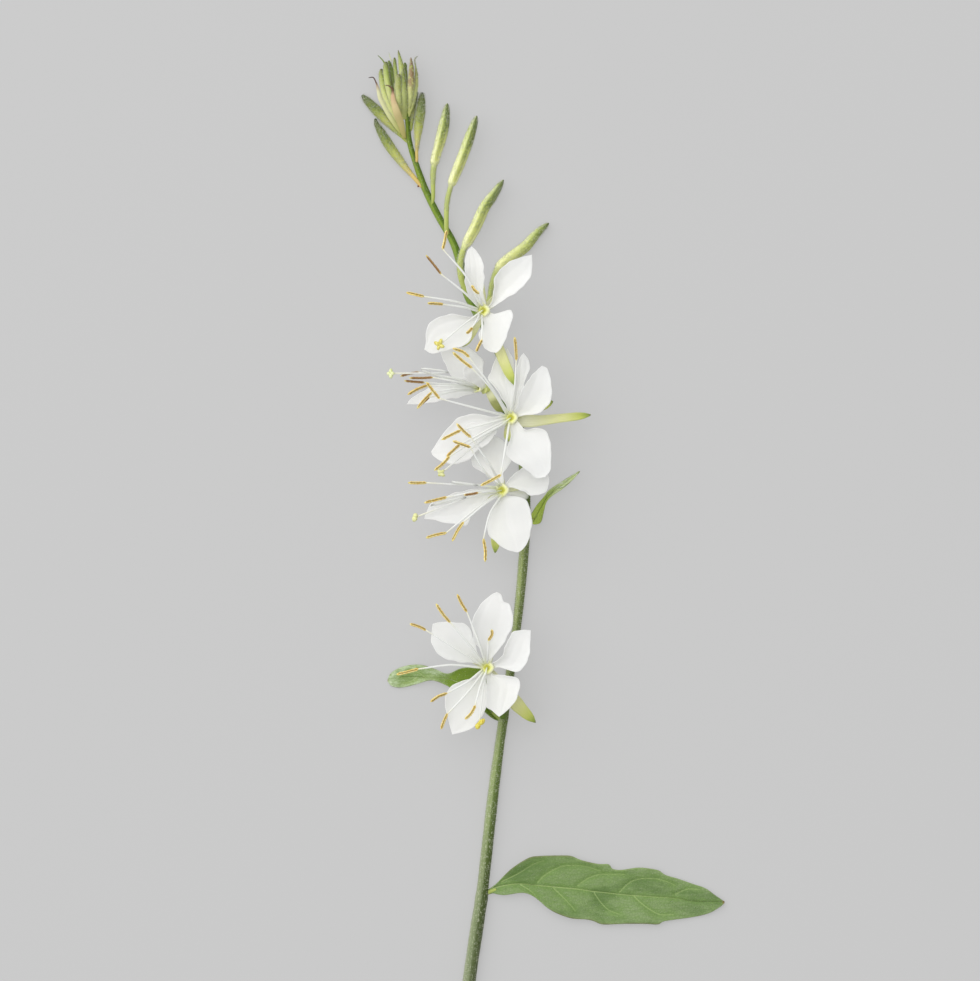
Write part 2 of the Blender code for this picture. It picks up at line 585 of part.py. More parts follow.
# Buds: from the base of the ovary to the tip, with the share of it that is the narrow tube
buds = {
    "bud_left_upper": {
        "route": [(-25.6, 75.9, 0.9), (-28.6, 79.0, 0.85), (-32.8, 83.5, 0.8)],
        "neck": 0.06, "radius": 0.72, "rests": True},
    "bud_left_lower": {
        "route": [(-23.7, 67.8, 1.0), (-25.0, 70.1, 1.0), (-27.5, 74.6, 0.95), (-30.4, 78.9, 0.8)],
        "neck": 0.24, "radius": 0.75, "rests": True},
    "bud_right_young": {
        "route": [(-23.15, 77.2, 1.4), (-23.35, 80.3, 1.5), (-23.0, 84.1, 1.6)],
        "neck": 0.1, "radius": 0.4, "rests": False},
    "bud_right_first": {
        "route": [(-22.2, 72.0, 1.6), (-22.8, 73.8, 2.1), (-22.9, 76.5, 2.7), (-22.3, 80.4, 2.9),
                  (-21.9, 83.8, 2.9)],
        "neck": 0.2, "radius": 0.65, "rests": False},
    "bud_right_second": {
        "route": [(-19.0, 64.9, 1.0), (-19.7, 71.0, 1.6), (-18.8, 76.0, 2.1), (-17.4, 82.0, 2.4)],
        "neck": 0.38, "radius": 0.88, "rests": False},
    "bud_right_third": {
        "route": [(-17.3, 59.6, 2.15), (-17.5, 62.5, 2.3), (-16.9, 67.7, 2.8), (-12.1, 79.7, 3.4)],
        "neck": 0.42, "radius": 0.92, "rests": False},
    "bud_right_fourth": {
        "route": [(-14.0, 47.9, 2.3), (-15.1, 50.6, 2.7), (-15.3, 53.6, 2.9), (-14.2, 56.5, 2.9),
                  (-11.0, 62.2, 2.6), (-7.4, 68.2, 2.2)],
        "neck": 0.42, "radius": 0.95, "rests": False},
    "bud_right_fifth": {
        "route": [(-10.4, 45.0, 0.9), (-10.0, 47.0, 0.9), (-9.3, 50.2, 1.0), (-7.9, 52.9, 1.1),
                  (-3.8, 56.6, 1.1), (0.8, 60.5, 0.9)],
        "neck": 0.44, "radius": 0.98, "rests": True},
}


def bud_shape(bud, rings=12, sides=8):
    # A slender ovary, a narrow tube, and the long closed sepals that swell above it
    neck = bud["neck"]
    radius = bud["radius"]

    def radius_at(t):
        if t < neck:
            ovary = math.sin(math.pi * min(t / neck, 1.0)) if neck > 0.3 else 0.3
            return tube_radius * 0.75 + 0.28 * ovary
        share = (t - neck) / (1 - neck)
        swell = math.sin(0.5 * math.pi * min(share / 0.45, 1.0))
        taper = 1 - max(0.0, (share - 0.6) / 0.4) ** 2.2 * 0.68
        thin = min(tube_radius, radius * 0.7)
        return thin + (radius - thin) * swell if share < 0.45 else radius * taper

    line = smooth_curve(bud["route"], rings)
    shape = tube(line, [radius_at(number / (rings - 1)) for number in range(rings)], sides)
    return let_down(shape) if bud["rests"] else shape


# Young buds round the tip of the stem, each from its root to its point, with its radius
cluster_core = [(-24.65, 78.8, 2.75), (-25.2, 81.8, 3.3), (-25.8, 85.0, 3.5)]
cluster_root = (-24.8, 79.5, 3.0)
young_buds = [
    ([(-25.6, 84.0, 4.2), (-26.2, 91.8, 4.6)], 0.8),
    ([(-27.0, 83.4, 2.9), (-27.6, 87.3, 3.0), (-28.0, 89.8, 3.1)], 0.7),
    ([(-27.4, 83.0, 4.2), (-28.6, 88.2, 4.4), (-29.9, 90.6, 4.6)], 0.7),
    ([(-28.0, 82.6, 3.4), (-28.9, 86.0, 3.5), (-29.4, 88.3, 3.6)], 0.6),
    ([(-26.2, 84.5, 2.4), (-26.9, 90.4, 2.3)], 0.6),
    ([(-25.9, 82.5, 4.7), (-26.1, 87.4, 5.2)], 0.7),
    ([(-24.1, 84.0, 4.1), (-23.9, 90.4, 4.4)], 0.7),
    ([(-23.7, 83.6, 3.2), (-23.0, 87.4, 3.3), (-22.7, 90.6, 3.4)], 0.65),
]
bract_root = (-25.7, 76.7, 2.5)
bracts = [
    ([bract_root, (-26.1, 78.4, 4.6), (-26.9, 80.4, 6.0), (-27.3, 82.6, 6.5), (-27.2, 84.4, 6.5),
      (-28.1, 85.3, 6.5)], (0.4, 0.6, 0.75, 0.6, 0.35)),
    ([bract_root, (-26.9, 79.2, 2.35), (-28.9, 82.3, 2.2), (-30.2, 85.1, 2.4), (-31.2, 86.6, 2.8)],
     (0.4, 0.55, 0.6, 0.45, 0.3)),
]


def cluster_shapes():
    shapes = [tube(smooth_curve(cluster_core, 5), [0.45, 1.0, 1.3, 1.1, 0.6], 7)]
    for route, radius in young_buds:
        line = smooth_curve([cluster_root, *route], 7)
        radii = [0.35, radius * 0.75, radius, radius, radius * 0.85, radius * 0.55, 0.16]
        shapes.append(tube(line, radii, 6))
    return shapes


def bract_shapes():
    root = Vector(bract_root)
    foot = [root + Vector((0, step * 0.4, step * 0.1)) for step in (-1, 0, 1)]
    shapes = [tube(foot, [0.35, 0.5, 0.35], 6)]
    for route, widths in bracts:
        shapes.append(blade(routed_face(route, widths, cup=-0.3), 7, 2))
    return shapes


# Leaves: both toothed edges drawn in plan from the petiole to the tip, with the midrib between
long_leaf = drawn(
    [(-8.9, -58.5), (-6.0, -55.6), (-2.9, -53.6), (-0.9, -53.2), (2.9, -53.1), (4.9, -53.2), (6.6, -53.9),
     (9.5, -54.6), (11.6, -54.7), (12.3, -55.5), (13.8, -55.7), (16.7, -55.3), (18.6, -55.4),
     (20.6, -55.8), (21.8, -56.6), (23.8, -57.2), (26.7, -58.2), (29.0, -59.0), (30.7, -60.2)],
    (32.6, -61.5),
    [(-9.2, -59.9), (-8.3, -60.1), (-6.9, -60.2), (-4.0, -59.8), (-2.3, -60.2), (-0.9, -61.2),
     (0.6, -62.5), (2.3, -63.5), (4.9, -64.4), (7.5, -64.6), (8.9, -64.9), (10.6, -65.5), (14.3, -65.4),
     (18.1, -65.4), (20.5, -65.5), (21.8, -64.9), (26.7, -64.2), (29.6, -63.5), (31.6, -62.4)],
    (1.0, 1.3, 0.9, 0.5, 0.8, 0.6, 0.9), cup=0.7, root=(-9.6, -59.6),
    rib=[(-8.4, -58.9), (-4.9, -58.2), (-1.2, -58.5), (5.5, -59.1), (9.2, -59.6), (16.1, -60.3),
         (23.8, -60.8), (26.4, -61.3)])
middle_leaf = drawn(
    [(-9.6, -26.6), (-10.9, -23.0), (-12.4, -20.2), (-15.0, -19.4), (-17.4, -20.4), (-19.6, -19.6),
     (-22.3, -18.8), (-25.2, -19.1), (-27.4, -20.2)],
    (-28.2, -21.7),
    [(-9.6, -28.2), (-12.2, -26.0), (-15.2, -24.0), (-17.8, -22.4), (-20.2, -21.6), (-22.6, -22.2),
     (-25.4, -22.9), (-27.3, -22.7)],
    (1.2, 2.0, 1.8, 1.2, 0.7, 0.6), cup=0.6, root=(-8.9, -28.4))
small_leaf = drawn(
    [(-2.1, 8.6), (-1.2, 10.0), (0.2, 11.6), (1.0, 12.6), (3.1, 14.1), (5.6, 15.6)],
    (6.5, 16.0),
    [(-1.7, 6.4), (-0.6, 6.8), (-0.1, 8.6), (0.3, 10.3), (1.3, 11.5), (3.3, 12.8), (5.2, 14.5)],
    (1.0, 1.6, 2.6, 3.2, 3.4), cup=0.5, root=(-1.8, 7.2))


def build():
    clear_scene()
    stem_green = paint("stem_green", (0.16, 0.24, 0.08), 0.6)
    leaf_green = paint("leaf_green", (0.12, 0.25, 0.07), 0.55)
    bud_green = paint("bud_green", (0.36, 0.42, 0.14), 0.6)
    bract_tan = paint("bract_tan", (0.62, 0.50, 0.26), 0.65)
    petal_white = paint("petal_white", (0.85, 0.85, 0.84), 0.55)
    calyx_green = paint("calyx_green", (0.55, 0.60, 0.22), 0.55)
    anther_gold = paint("anther_gold", (0.62, 0.36, 0.08), 0.6)

    finished("stem", [stem_shape()], stem_green)
    finished("leaf_long", [let_down(blade(drawn_face(long_leaf), 24, 6, pointed=True))], leaf_green)
    finished("leaf_middle", [let_down(blade(drawn_face(middle_leaf), 14, 4, pointed=True))], leaf_green)
    finished("leaf_small", [blade(drawn_face(small_leaf), 10, 2, pointed=True)], leaf_green)
    finished("tip_buds", cluster_shapes(), bud_green)
    finished("tip_bracts", bract_shapes(), bract_tan)
    for name, bud in buds.items():
        finished(name, [bud_shape(bud)], bud_green)
    flowers = {"a": flower_a, "b": flower_b, "c": flower_c, "d": flower_d, "e": flower_e}
    for letter, flower in flowers.items():
        finished(f"flower_{letter}_calyx", calyx_of(flower), calyx_green)
        finished(f"flower_{letter}_petals", petals_of(flower), petal_white)
        finished(f"flower_{letter}_stamens", stamens_of(flower), anther_gold)


build()
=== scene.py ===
# A cut spray of gaura on a pale surface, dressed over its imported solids.
# Points and sizes are in millimetres, and addPiece turns them into metres.
import math

import bpy
import numpy as np
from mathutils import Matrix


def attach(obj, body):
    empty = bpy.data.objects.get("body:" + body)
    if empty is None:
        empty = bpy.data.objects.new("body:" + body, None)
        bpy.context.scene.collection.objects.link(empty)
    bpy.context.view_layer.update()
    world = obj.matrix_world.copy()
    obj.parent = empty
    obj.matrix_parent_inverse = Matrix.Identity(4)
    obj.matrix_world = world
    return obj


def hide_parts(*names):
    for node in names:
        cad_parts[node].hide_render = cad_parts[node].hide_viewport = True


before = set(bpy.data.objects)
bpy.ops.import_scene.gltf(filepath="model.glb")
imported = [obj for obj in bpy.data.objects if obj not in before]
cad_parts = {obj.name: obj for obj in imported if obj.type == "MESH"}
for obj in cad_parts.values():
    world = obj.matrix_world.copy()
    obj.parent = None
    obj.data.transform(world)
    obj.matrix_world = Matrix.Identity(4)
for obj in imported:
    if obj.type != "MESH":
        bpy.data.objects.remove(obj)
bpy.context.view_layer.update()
draw = np.random.default_rng(11)
mm = 0.001
print("frame loaded")


# Curves and meshes

def unit(vectors):
    return vectors / np.maximum(np.linalg.norm(vectors, axis=-1, keepdims=True), 1e-12)


def smoothCurve(points, count, steps=16):
    # Even points along a smooth curve through the given ones
    through = np.array(points, float)
    ends = np.vstack([2 * through[0] - through[1], through, 2 * through[-1] - through[-2]])
    t = np.linspace(0, 1, steps, endpoint=False)[:, None]
    spans = [0.5 * (2 * b + (c - a) * t + (2 * a - 5 * b + 4 * c - d) * t ** 2
                    + (3 * b - a - 3 * c + d) * t ** 3)
             for a, b, c, d in zip(ends, ends[1:], ends[2:], ends[3:])]
    fine = np.vstack(spans + [through[-1:]])
    lengths = np.concatenate([[0], np.cumsum(np.linalg.norm(np.diff(fine, axis=0), axis=1))])
    wanted = np.linspace(0, lengths[-1], count)
    return np.column_stack([np.interp(wanted, lengths, fine[:, axis]) for axis in range(fine.shape[1])])


def pointAlong(line, t):
    place = np.clip(t, 0, 1) * (len(line) - 1)
    return np.stack([np.interp(place, np.arange(len(line)), line[:, axis])
                     for axis in range(line.shape[1])], axis=-1)


def valueAlong(values, t):
    # A smooth value between a few evenly spaced ones, as in the solids
    values = np.array(values, float)
    place = np.clip(t, 0, 1) * (len(values) - 1)
    start = np.minimum(place.astype(int), len(values) - 2)
    part = place - start
    slope = 0.5 * (part + part * part * (3 - 2 * part))
    return values[start] * (1 - slope) + values[start + 1] * slope


def gridFaces(rows, cols, around=False):
    numbers = np.arange(rows * cols).reshape(rows, cols)
    after = np.roll(numbers, -1, axis=1) if around else numbers[:, 1:]
    here = numbers if around else numbers[:, :-1]
    return np.stack([here[:-1], after[:-1], after[1:], here[1:]], axis=-1).reshape(-1, 4)


def sheet(grid, thickness, marks):
    # A thin closed blade: its two faces and the rim between them
    rows, cols = grid.shape[:2]
    normal = unit(np.cross(np.gradient(grid, axis=1), np.gradient(grid, axis=0)))
    turned = normal[..., 2].mean() < 0
    if turned:
        normal = -normal
    half = np.full((rows, cols, 1), thickness / 2)
    half[[0, -1]] *= 0.5
    half[:, [0, -1]] *= 0.5
    points = np.concatenate([(grid + normal * half).reshape(-1, 3), (grid - normal * half).reshape(-1, 3)])
    under = rows * cols
    faces = gridFaces(rows, cols)
    numbers = np.arange(under).reshape(rows, cols)
    edge = np.concatenate([numbers[0, :-1], numbers[:-1, -1], numbers[-1, :0:-1], numbers[:0:-1, 0]])
    next_ = np.roll(edge, -1)
    rim = np.stack([edge, edge + under, next_ + under, next_], axis=-1)
    faces = np.concatenate([faces, faces[:, ::-1] + under, rim])
    if turned:
        faces = faces[:, ::-1]
    doubled = {name: np.tile(np.broadcast_to(value, (rows, cols)).reshape(-1), 2)
               for name, value in marks.items()}
    doubled["under"] = np.repeat([0.0, 1.0], under)
    return points, faces.tolist(), doubled


def tube(line, radii, sides, marks=None, flatten=1.0):
    # A closed round body along a line. radii is one for each point, or one for each point and side.
    ahead = unit(np.gradient(line, axis=0))
    side = np.cross(ahead[0], (0, 0, 1) if abs(ahead[0][2]) < 0.9 else (0, 1, 0))
    sideways = []
    for direction in ahead:
        side = unit(side - direction * side.dot(direction))
        sideways.append(side)
    sideways = np.array(sideways)
    up = np.cross(sideways, ahead)
    turns = np.linspace(0, 2 * math.pi, sides, endpoint=False)
    radii = np.array(radii, float)
    radii = radii[:, None] if radii.ndim == 1 else radii
    ring = sideways[:, None] * np.cos(turns)[None, :, None] + up[:, None] * np.sin(turns)[None, :, None] * flatten
    points = line[:, None] + ring * np.broadcast_to(radii, (len(line), sides))[..., None]
    faces = gridFaces(len(line), sides, around=True)[:, ::-1].tolist()
    faces += [list(range(sides)), list(range(len(line) * sides - sides, len(line) * sides))[::-1]]
    along = np.repeat(np.linspace(0, 1, len(line)), sides)
    made = {"along": along, "turn": np.tile(turns, len(line)) / (2 * math.pi)}
    for name, value in (marks or {}).items():
        made[name] = np.broadcast_to(value, (len(line), sides)).reshape(-1)
    return points.reshape(-1, 3), faces, made


def hairs(roots, directions, lengths, width):
    # Fine three-sided hairs, each a closed spike
    count = len(roots)
    side = unit(np.cross(directions, draw.normal(size=(count, 3))))
    other = np.cross(directions, side)
    turns = np.array([0, 2, 4]) * math.pi / 3
    base = (roots[:, None] + (side[:, None] * np.cos(turns)[None, :, None]
                              + other[:, None] * np.sin(turns)[None, :, None]) * width)
    tips = (roots + directions * lengths[:, None])[:, None]
    points = np.concatenate([base, tips], axis=1).reshape(-1, 3)
    first = np.arange(count)[:, None] * 4
    faces = np.concatenate([first + [0, 1, 3], first + [1, 2, 3], first + [2, 0, 3], first + [2, 1, 0]])
    return points, faces.tolist(), {"along": np.tile([0, 0, 0, 1.0], count)}


def addPiece(name, parts, material, replaced=()):
    # One object from one or more closed shapes, riding on the part's only body
    points = np.concatenate([part[0] for part in parts]) * mm
    faces = []
    start = 0
    for shape, corners, _ in parts:
        faces += [[corner + start for corner in face] for face in corners]
        start += len(shape)
    mesh = bpy.data.meshes.new(name)
    mesh.from_pydata(points.tolist(), [], faces)
    for mark in sorted({mark for part in parts for mark in part[2]}):
        values = np.concatenate([part[2].get(mark, np.zeros(len(part[0]))) for part in parts])
        mesh.attributes.new(mark, "FLOAT", "POINT").data.foreach_set("value", values.astype(np.float32))
    mesh.shade_smooth()
    mesh.materials.append(material)
    piece = bpy.data.objects.new(name, mesh)
    bpy.context.scene.collection.objects.link(piece)
    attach(piece, "root")
    if replaced:
        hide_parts(*replaced)
    return piece


# Materials

class Socket:
    # A node's output that does sums: each operator adds a Math node
    def __init__(self, paint, output):
        self.paint = paint
        self.output = output

    def sum(self, operation, one, two):
        return self.paint.add("Math", {"operation": operation}, {0: one, 1: two})

    def __add__(self, other):
        return self.sum("ADD", self, other)

    def __radd__(self, other):
        return self.sum("ADD", other, self)

    def __sub__(self, other):
        return self.sum("SUBTRACT", self, other)

    def __rsub__(self, other):
        return self.sum("SUBTRACT", other, self)

    def __mul__(self, other):
        return self.sum("MULTIPLY", self, other)

    def __rmul__(self, other):
        return self.sum("MULTIPLY", other, self)

    def __pow__(self, other):
        return self.sum("POWER", self, other)


class Paint:
    # One material, with the few nodes that the finishes here are made of
    def __init__(self, name, roughness=0.5, **constants):
        self.material = bpy.data.materials.new(name)
        self.material.use_nodes = True
        self.tree = self.material.node_tree
        self.shader = self.tree.nodes["Principled BSDF"]
        self.end = self.tree.nodes["Material Output"]
        self.shader.inputs["Roughness"].default_value = roughness
        for socket, value in constants.items():
            self.shader.inputs[socket.replace("_", " ")].default_value = value

    def put(self, socket, value):
        if isinstance(value, Socket):
            self.tree.links.new(value.output, socket)
        elif isinstance(value, tuple) and len(value) == 3 and socket.type == "RGBA":
            socket.default_value = (*value, 1)
        else:
            socket.default_value = value

    def add(self, kind, settings=None, sockets=None, output=0):
        node = self.tree.nodes.new("ShaderNode" + kind)
        for setting, value in (settings or {}).items():
            if setting == "stops":
                for number, (place, colour) in enumerate(value):
                    stops = node.color_ramp.elements
                    stop = stops[number] if number < 2 else stops.new(place)
                    stop.position = place
                    stop.color = (*colour, 1)
            else:
                setattr(node, setting, value)
        for name, value in (sockets or {}).items():
            self.put(node.inputs[name], value)
        return Socket(self, node.outputs[output])

    def mark(self, name):
        return self.add("Attribute", {"attribute_name": name}, output="Fac")

    def ramp(self, value, *stops):
        return self.add("ValToRGB", {"stops": stops}, {"Fac": value})

    def mix(self, one, two, factor, blend="MIX"):
        return self.add("Mix", {"data_type": "RGBA", "blend_type": blend, "clamp_factor": True},
                        {0: factor, 6: one, 7: two}, output=2)

    def noise(self, scale, stretch=(1, 1, 1), detail=3.0, roughness=0.55):
        place = self.add("TexCoord", output="Object")
        place = self.add("VectorMath", {"operation": "MULTIPLY"}, {0: place, 1: stretch})
        return self.add("TexNoise", {}, {"Vector": place, "Scale": scale, "Detail": detail,
                                         "Roughness": roughness})

    def step(self, value, low, high):
        # 0 below low and 1 above high, smooth between them
        return self.add("MapRange", {"interpolation_type": "SMOOTHSTEP"},
                        {"Value": value, "From Min": low, "From Max": high})

    def bump(self, height, strength, distance):
        normal = self.add("Bump", {}, {"Height": height, "Strength": strength, "Distance": distance})
        self.put(self.shader.inputs["Normal"], normal)

    def finish(self, colour, seeThrough=0.0, glow=(1, 1, 1)):
        # seeThrough is the share of light that passes into the blade, and glow its colour there
        self.put(self.shader.inputs["Base Color"], colour)
        if seeThrough:
            through = self.add("BsdfTranslucent", {}, {"Color": glow})
            both = self.add("MixShader", {}, {0: seeThrough, 1: Socket(self, self.shader.outputs[0]), 2: through})
            self.put(self.end.inputs["Surface"], both)
        return self.material


def petalWhite():
    paint = Paint("petalWhite", roughness=0.5, Specular_IOR_Level=0.25)
    across = paint.mark("across")
    along = paint.mark("along")
    wander = paint.noise(160, detail=2)
    lines = paint.add("Math", {"operation": "SINE"}, {0: across * 38 + wander * 12})
    veins = paint.step(lines, 0.6, 1.0) * paint.step(along, 0.02, 0.3) * (1 - paint.step(along, 0.6, 0.95))
    cloud = paint.noise(130, detail=3)
    white = paint.mix((0.95, 0.95, 0.94), (0.90, 0.905, 0.90), paint.step(cloud, 0.35, 0.75))
    white = paint.mix(white, (0.84, 0.85, 0.84), veins * 0.03)
    colour = paint.mix((0.84, 0.86, 0.58), white, paint.step(along, 0.02, 0.12))
    paint.bump(veins * -1.0, 0.03, 0.00003)
    return paint.finish(colour, seeThrough=0.5, glow=(0.95, 0.95, 0.94))


def filamentWhite():
    paint = Paint("filamentWhite", roughness=0.4, Specular_IOR_Level=0.35)
    along = paint.mark("along")
    colour = paint.ramp(along, (0.0, (0.80, 0.84, 0.48)), (0.14, (0.90, 0.91, 0.87)),
                        (0.85, (0.90, 0.91, 0.90)), (1.0, (0.90, 0.88, 0.68)))
    return paint.finish(colour, seeThrough=0.35, glow=(0.92, 0.93, 0.90))


def antherGold():
    paint = Paint("antherGold", roughness=0.65, Specular_IOR_Level=0.15)
    grain = paint.noise(3400, detail=2)
    gold = paint.mix((0.78, 0.54, 0.14), (0.92, 0.80, 0.34), paint.step(grain, 0.40, 0.60))
    colour = paint.mix(gold, (0.55, 0.28, 0.06), paint.mark("flank") * 0.05)
    colour = paint.mix(colour, (0.11, 0.08, 0.02), paint.mark("groove"))
    colour = paint.mix(colour, (0.16, 0.055, 0.03), paint.mark("spent") * 0.8)
    colour = paint.mix(colour, (0.50, 0.50, 0.10), paint.mark("tipGreen"))
    paint.bump(grain, 0.5, 0.00006)
    return paint.finish(colour)


def throatGreen():
    paint = Paint("throatGreen", roughness=0.5, Specular_IOR_Level=0.2)
    cloud = paint.noise(1400, detail=2)
    ring = paint.ramp(paint.mark("reach"), (0.0, (0.50, 0.50, 0.06)), (0.34, (0.56, 0.55, 0.08)),
                      (0.52, (0.80, 0.82, 0.28)), (0.8, (0.92, 0.93, 0.52)), (1.0, (0.94, 0.94, 0.72)))
    return paint.finish(paint.mix(ring, (0.48, 0.50, 0.06), paint.step(cloud, 0.5, 0.75) * 0.4),
                        seeThrough=0.12, glow=(0.8, 0.8, 0.3))


def stigmaGreen():
    paint = Paint("stigmaGreen", roughness=0.65, Specular_IOR_Level=0.15)
    cloud = paint.noise(2600, detail=2)
    pale = paint.mix((0.78, 0.82, 0.52), (0.62, 0.68, 0.28), paint.step(cloud, 0.45, 0.7))
    gold = paint.mix((0.80, 0.72, 0.14), (0.60, 0.40, 0.05), paint.step(cloud, 0.5, 0.68))
    paint.bump(cloud, 0.6, 0.0001)
    return paint.finish(paint.mix(pale, gold, paint.mark("pollen")), seeThrough=0.1, glow=(0.8, 0.8, 0.4))


def sepalGreen():
    # Almost colourless at the base, yellow-green further on, with a green tip that ends in a dark point
    paint = Paint("sepalGreen", roughness=0.5, Specular_IOR_Level=0.25)
    along = paint.mark("along")
    colour = paint.ramp(along, (0.0, (0.76, 0.75, 0.62)), (0.3, (0.78, 0.78, 0.46)),
                        (0.58, (0.70, 0.71, 0.22)), (0.8, (0.52, 0.58, 0.09)),
                        (0.93, (0.28, 0.38, 0.03)), (1.0, (0.06, 0.07, 0.02)))
    pale = paint.ramp(along, (0.0, (0.88, 0.87, 0.80)), (0.35, (0.90, 0.90, 0.64)),
                      (0.66, (0.90, 0.90, 0.48)), (0.86, (0.66, 0.72, 0.16)),
                      (0.96, (0.25, 0.37, 0.02)), (1.0, (0.08, 0.11, 0.02)))
    colour = paint.mix(colour, pale, paint.mark("pale"))
    lines = paint.add("Math", {"operation": "SINE"}, {0: paint.mark("across") * 30 + paint.noise(260) * 9})
    colour = paint.mix(colour, (0.44, 0.48, 0.14), paint.step(lines, 0.55, 1.0) * 0.16)
    edge = paint.step(paint.mark("rim"), 0.7, 1.0)
    colour = paint.mix(colour, (0.50, 0.55, 0.12), edge * 0.25)
    # Beyond their middle, flower B's sepals are painted darker as painted shade.
    colour = paint.mix(colour, (0.20, 0.22, 0.045), paint.mark("deep") * paint.step(along, 0.3, 0.6))
    return paint.finish(colour, seeThrough=0.45, glow=(0.86, 0.87, 0.64))


def tubeGreen():
    paint = Paint("tubeGreen", roughness=0.5, Specular_IOR_Level=0.25)
    along = paint.mark("along")
    colour = paint.ramp(along, (0.0, (0.10, 0.17, 0.02)), (0.35, (0.15, 0.24, 0.03)),
                        (0.7, (0.42, 0.48, 0.09)), (1.0, (0.66, 0.70, 0.26)))
    cloud = paint.noise(1200)
    colour = paint.mix(colour, (0.12, 0.19, 0.02), paint.step(cloud, 0.5, 0.75) * 0.35)
    # Towards the flower, flower D's tube is painted near white: partly its own pale colour and partly painted light
    # where its petals shade it.
    white = paint.mark("white") * paint.step(along, 0.1, 0.35)
    return paint.finish(paint.mix(colour, (0.95, 0.95, 0.92), white))


def budGreen():
    # ripe ones are pale where the closed sepals begin, and all are olive and mottled towards the tip. A ripe one's
    # right side is painted in darker olive as painted shade, and its left side has pale mottles as painted light.
    paint = Paint("budGreen", roughness=0.6, Specular_IOR_Level=0.18)
    swell = paint.mark("swell")
    ripe = paint.ramp(swell, (0.0, (0.34, 0.40, 0.09)), (0.18, (0.40, 0.46, 0.13)),
                      (0.36, (0.44, 0.50, 0.15)), (0.43, (0.80, 0.81, 0.42)),
                      (0.6, (0.66, 0.69, 0.27)), (0.8, (0.50, 0.57, 0.17)),
                      (0.95, (0.24, 0.31, 0.07)), (1.0, (0.06, 0.08, 0.03)))
    slim = paint.ramp(swell, (0.0, (0.60, 0.42, 0.14)), (0.22, (0.62, 0.50, 0.17)),
                      (0.36, (0.52, 0.52, 0.16)), (0.55, (0.36, 0.40, 0.10)),
                      (0.75, (0.22, 0.27, 0.06)), (0.95, (0.10, 0.12, 0.03)), (1.0, (0.03, 0.04, 0.03)))
    stalk = (1 - paint.mark("tan")) * (1 - paint.step(swell, 0.3, 0.5))
    slim = paint.mix(slim, (0.38, 0.43, 0.11), stalk)
    isRipe = paint.mark("ripe")
    colour = paint.mix(slim, ripe, isRipe)
    mottle = paint.noise(2300, detail=4, roughness=0.65)
    broad = paint.noise(620, detail=3)
    # The right side of a ripe bud is painted darker olive as painted shade, with the dark mottles gathered there, and
    # pale mottles on its left side are painted light.
    side = paint.mark("right") - paint.mark("left")
    body = paint.step(swell, 0.38, 0.46)
    rightEdge = paint.step(side, 0.4, 0.75) * (1 - paint.step(swell, 0.68, 0.82))
    shadedSide = paint.step(side, -0.4, 0.05) * (1 - rightEdge) * paint.mark("striped")
    shadeOlive = paint.ramp(swell, (0.43, (0.40, 0.43, 0.09)), (0.7, (0.26, 0.30, 0.07)),
                       (0.92, (0.13, 0.16, 0.04)))
    colour = paint.mix(colour, shadeOlive, shadedSide * body * isRipe * 0.8)
    dark = paint.step(mottle, 0.42, 0.56) * paint.step(swell + (broad - 0.5) * 0.5, 0.5, 0.8)
    colour = paint.mix(colour, (0.10, 0.14, 0.04), dark * (shadedSide * 0.8 + 0.1))
    pale = paint.step(paint.mark("left"), 0.1, 0.8) * paint.step(mottle, 0.34, 0.6) * isRipe * (body * 0.8 + 0.2)
    colour = paint.mix(colour, (0.84, 0.85, 0.58), pale * 0.7)
    paint.bump(mottle, 0.5, 0.00012)
    return paint.finish(colour)


def youngGreen():
    # blush turns a young bud pinkish brown and the dark green mark turns it dark green. Its left side is painted
    # lighter as painted light, and its right side gets dark mottles as painted shade.
    paint = Paint("youngGreen", roughness=0.6, Specular_IOR_Level=0.2)
    along = paint.mark("along")
    colour = paint.ramp(along, (0.0, (0.54, 0.56, 0.19)), (0.3, (0.62, 0.65, 0.27)),
                        (0.6, (0.54, 0.60, 0.21)), (0.85, (0.34, 0.42, 0.10)),
                        (0.95, (0.18, 0.22, 0.06)), (1.0, (0.06, 0.06, 0.03)))
    grain = paint.noise(1700, detail=3)
    colour = paint.mix(colour, (0.10, 0.16, 0.025), paint.mark("deep") * 0.8)
    rosy = paint.mark("blush") * paint.step(along, 0.35, 0.62)
    colour = paint.mix(colour, (0.22, 0.09, 0.07), rosy * paint.step(grain, 0.3, 0.55) * 0.85)
    # painted light on the left side, and painted shade with dark mottles on the right side
    colour = paint.mix(colour, (0.66, 0.66, 0.36), paint.mark("left") * 0.35)
    colour = paint.mix(colour, (0.14, 0.19, 0.04), paint.mark("right") * paint.step(grain, 0.4, 0.6) * 0.55)
    paint.bump(grain, 0.4, 0.0001)
    return paint.finish(colour)


def bractTan():
    paint = Paint("bractTan", roughness=0.6, Specular_IOR_Level=0.2)
    along = paint.mark("along")
    tan = paint.ramp(along, (0.0, (0.46, 0.42, 0.13)), (0.25, (0.60, 0.53, 0.22)),
                     (0.55, (0.68, 0.56, 0.30)), (0.7, (0.62, 0.42, 0.26)),
                     (0.76, (0.16, 0.08, 0.05)), (1.0, (0.05, 0.03, 0.03)))
    cream = paint.ramp(along, (0.0, (0.44, 0.46, 0.12)), (0.35, (0.66, 0.68, 0.36)),
                       (0.7, (0.72, 0.72, 0.46)), (0.79, (0.50, 0.40, 0.30)),
                       (0.84, (0.14, 0.08, 0.06)), (1.0, (0.05, 0.03, 0.03)))
    colour = paint.mix(tan, cream, paint.mark("cream"))
    lines = paint.add("Math", {"operation": "SINE"}, {0: paint.mark("across") * 34 + paint.noise(900) * 4})
    blade = 1 - paint.step(along, 0.6, 0.7)
    colour = paint.mix(colour, (0.42, 0.34, 0.14), paint.step(lines, 0.4, 1.0) * blade * 0.3)
    return paint.finish(colour, seeThrough=0.15, glow=(0.7, 0.6, 0.35))


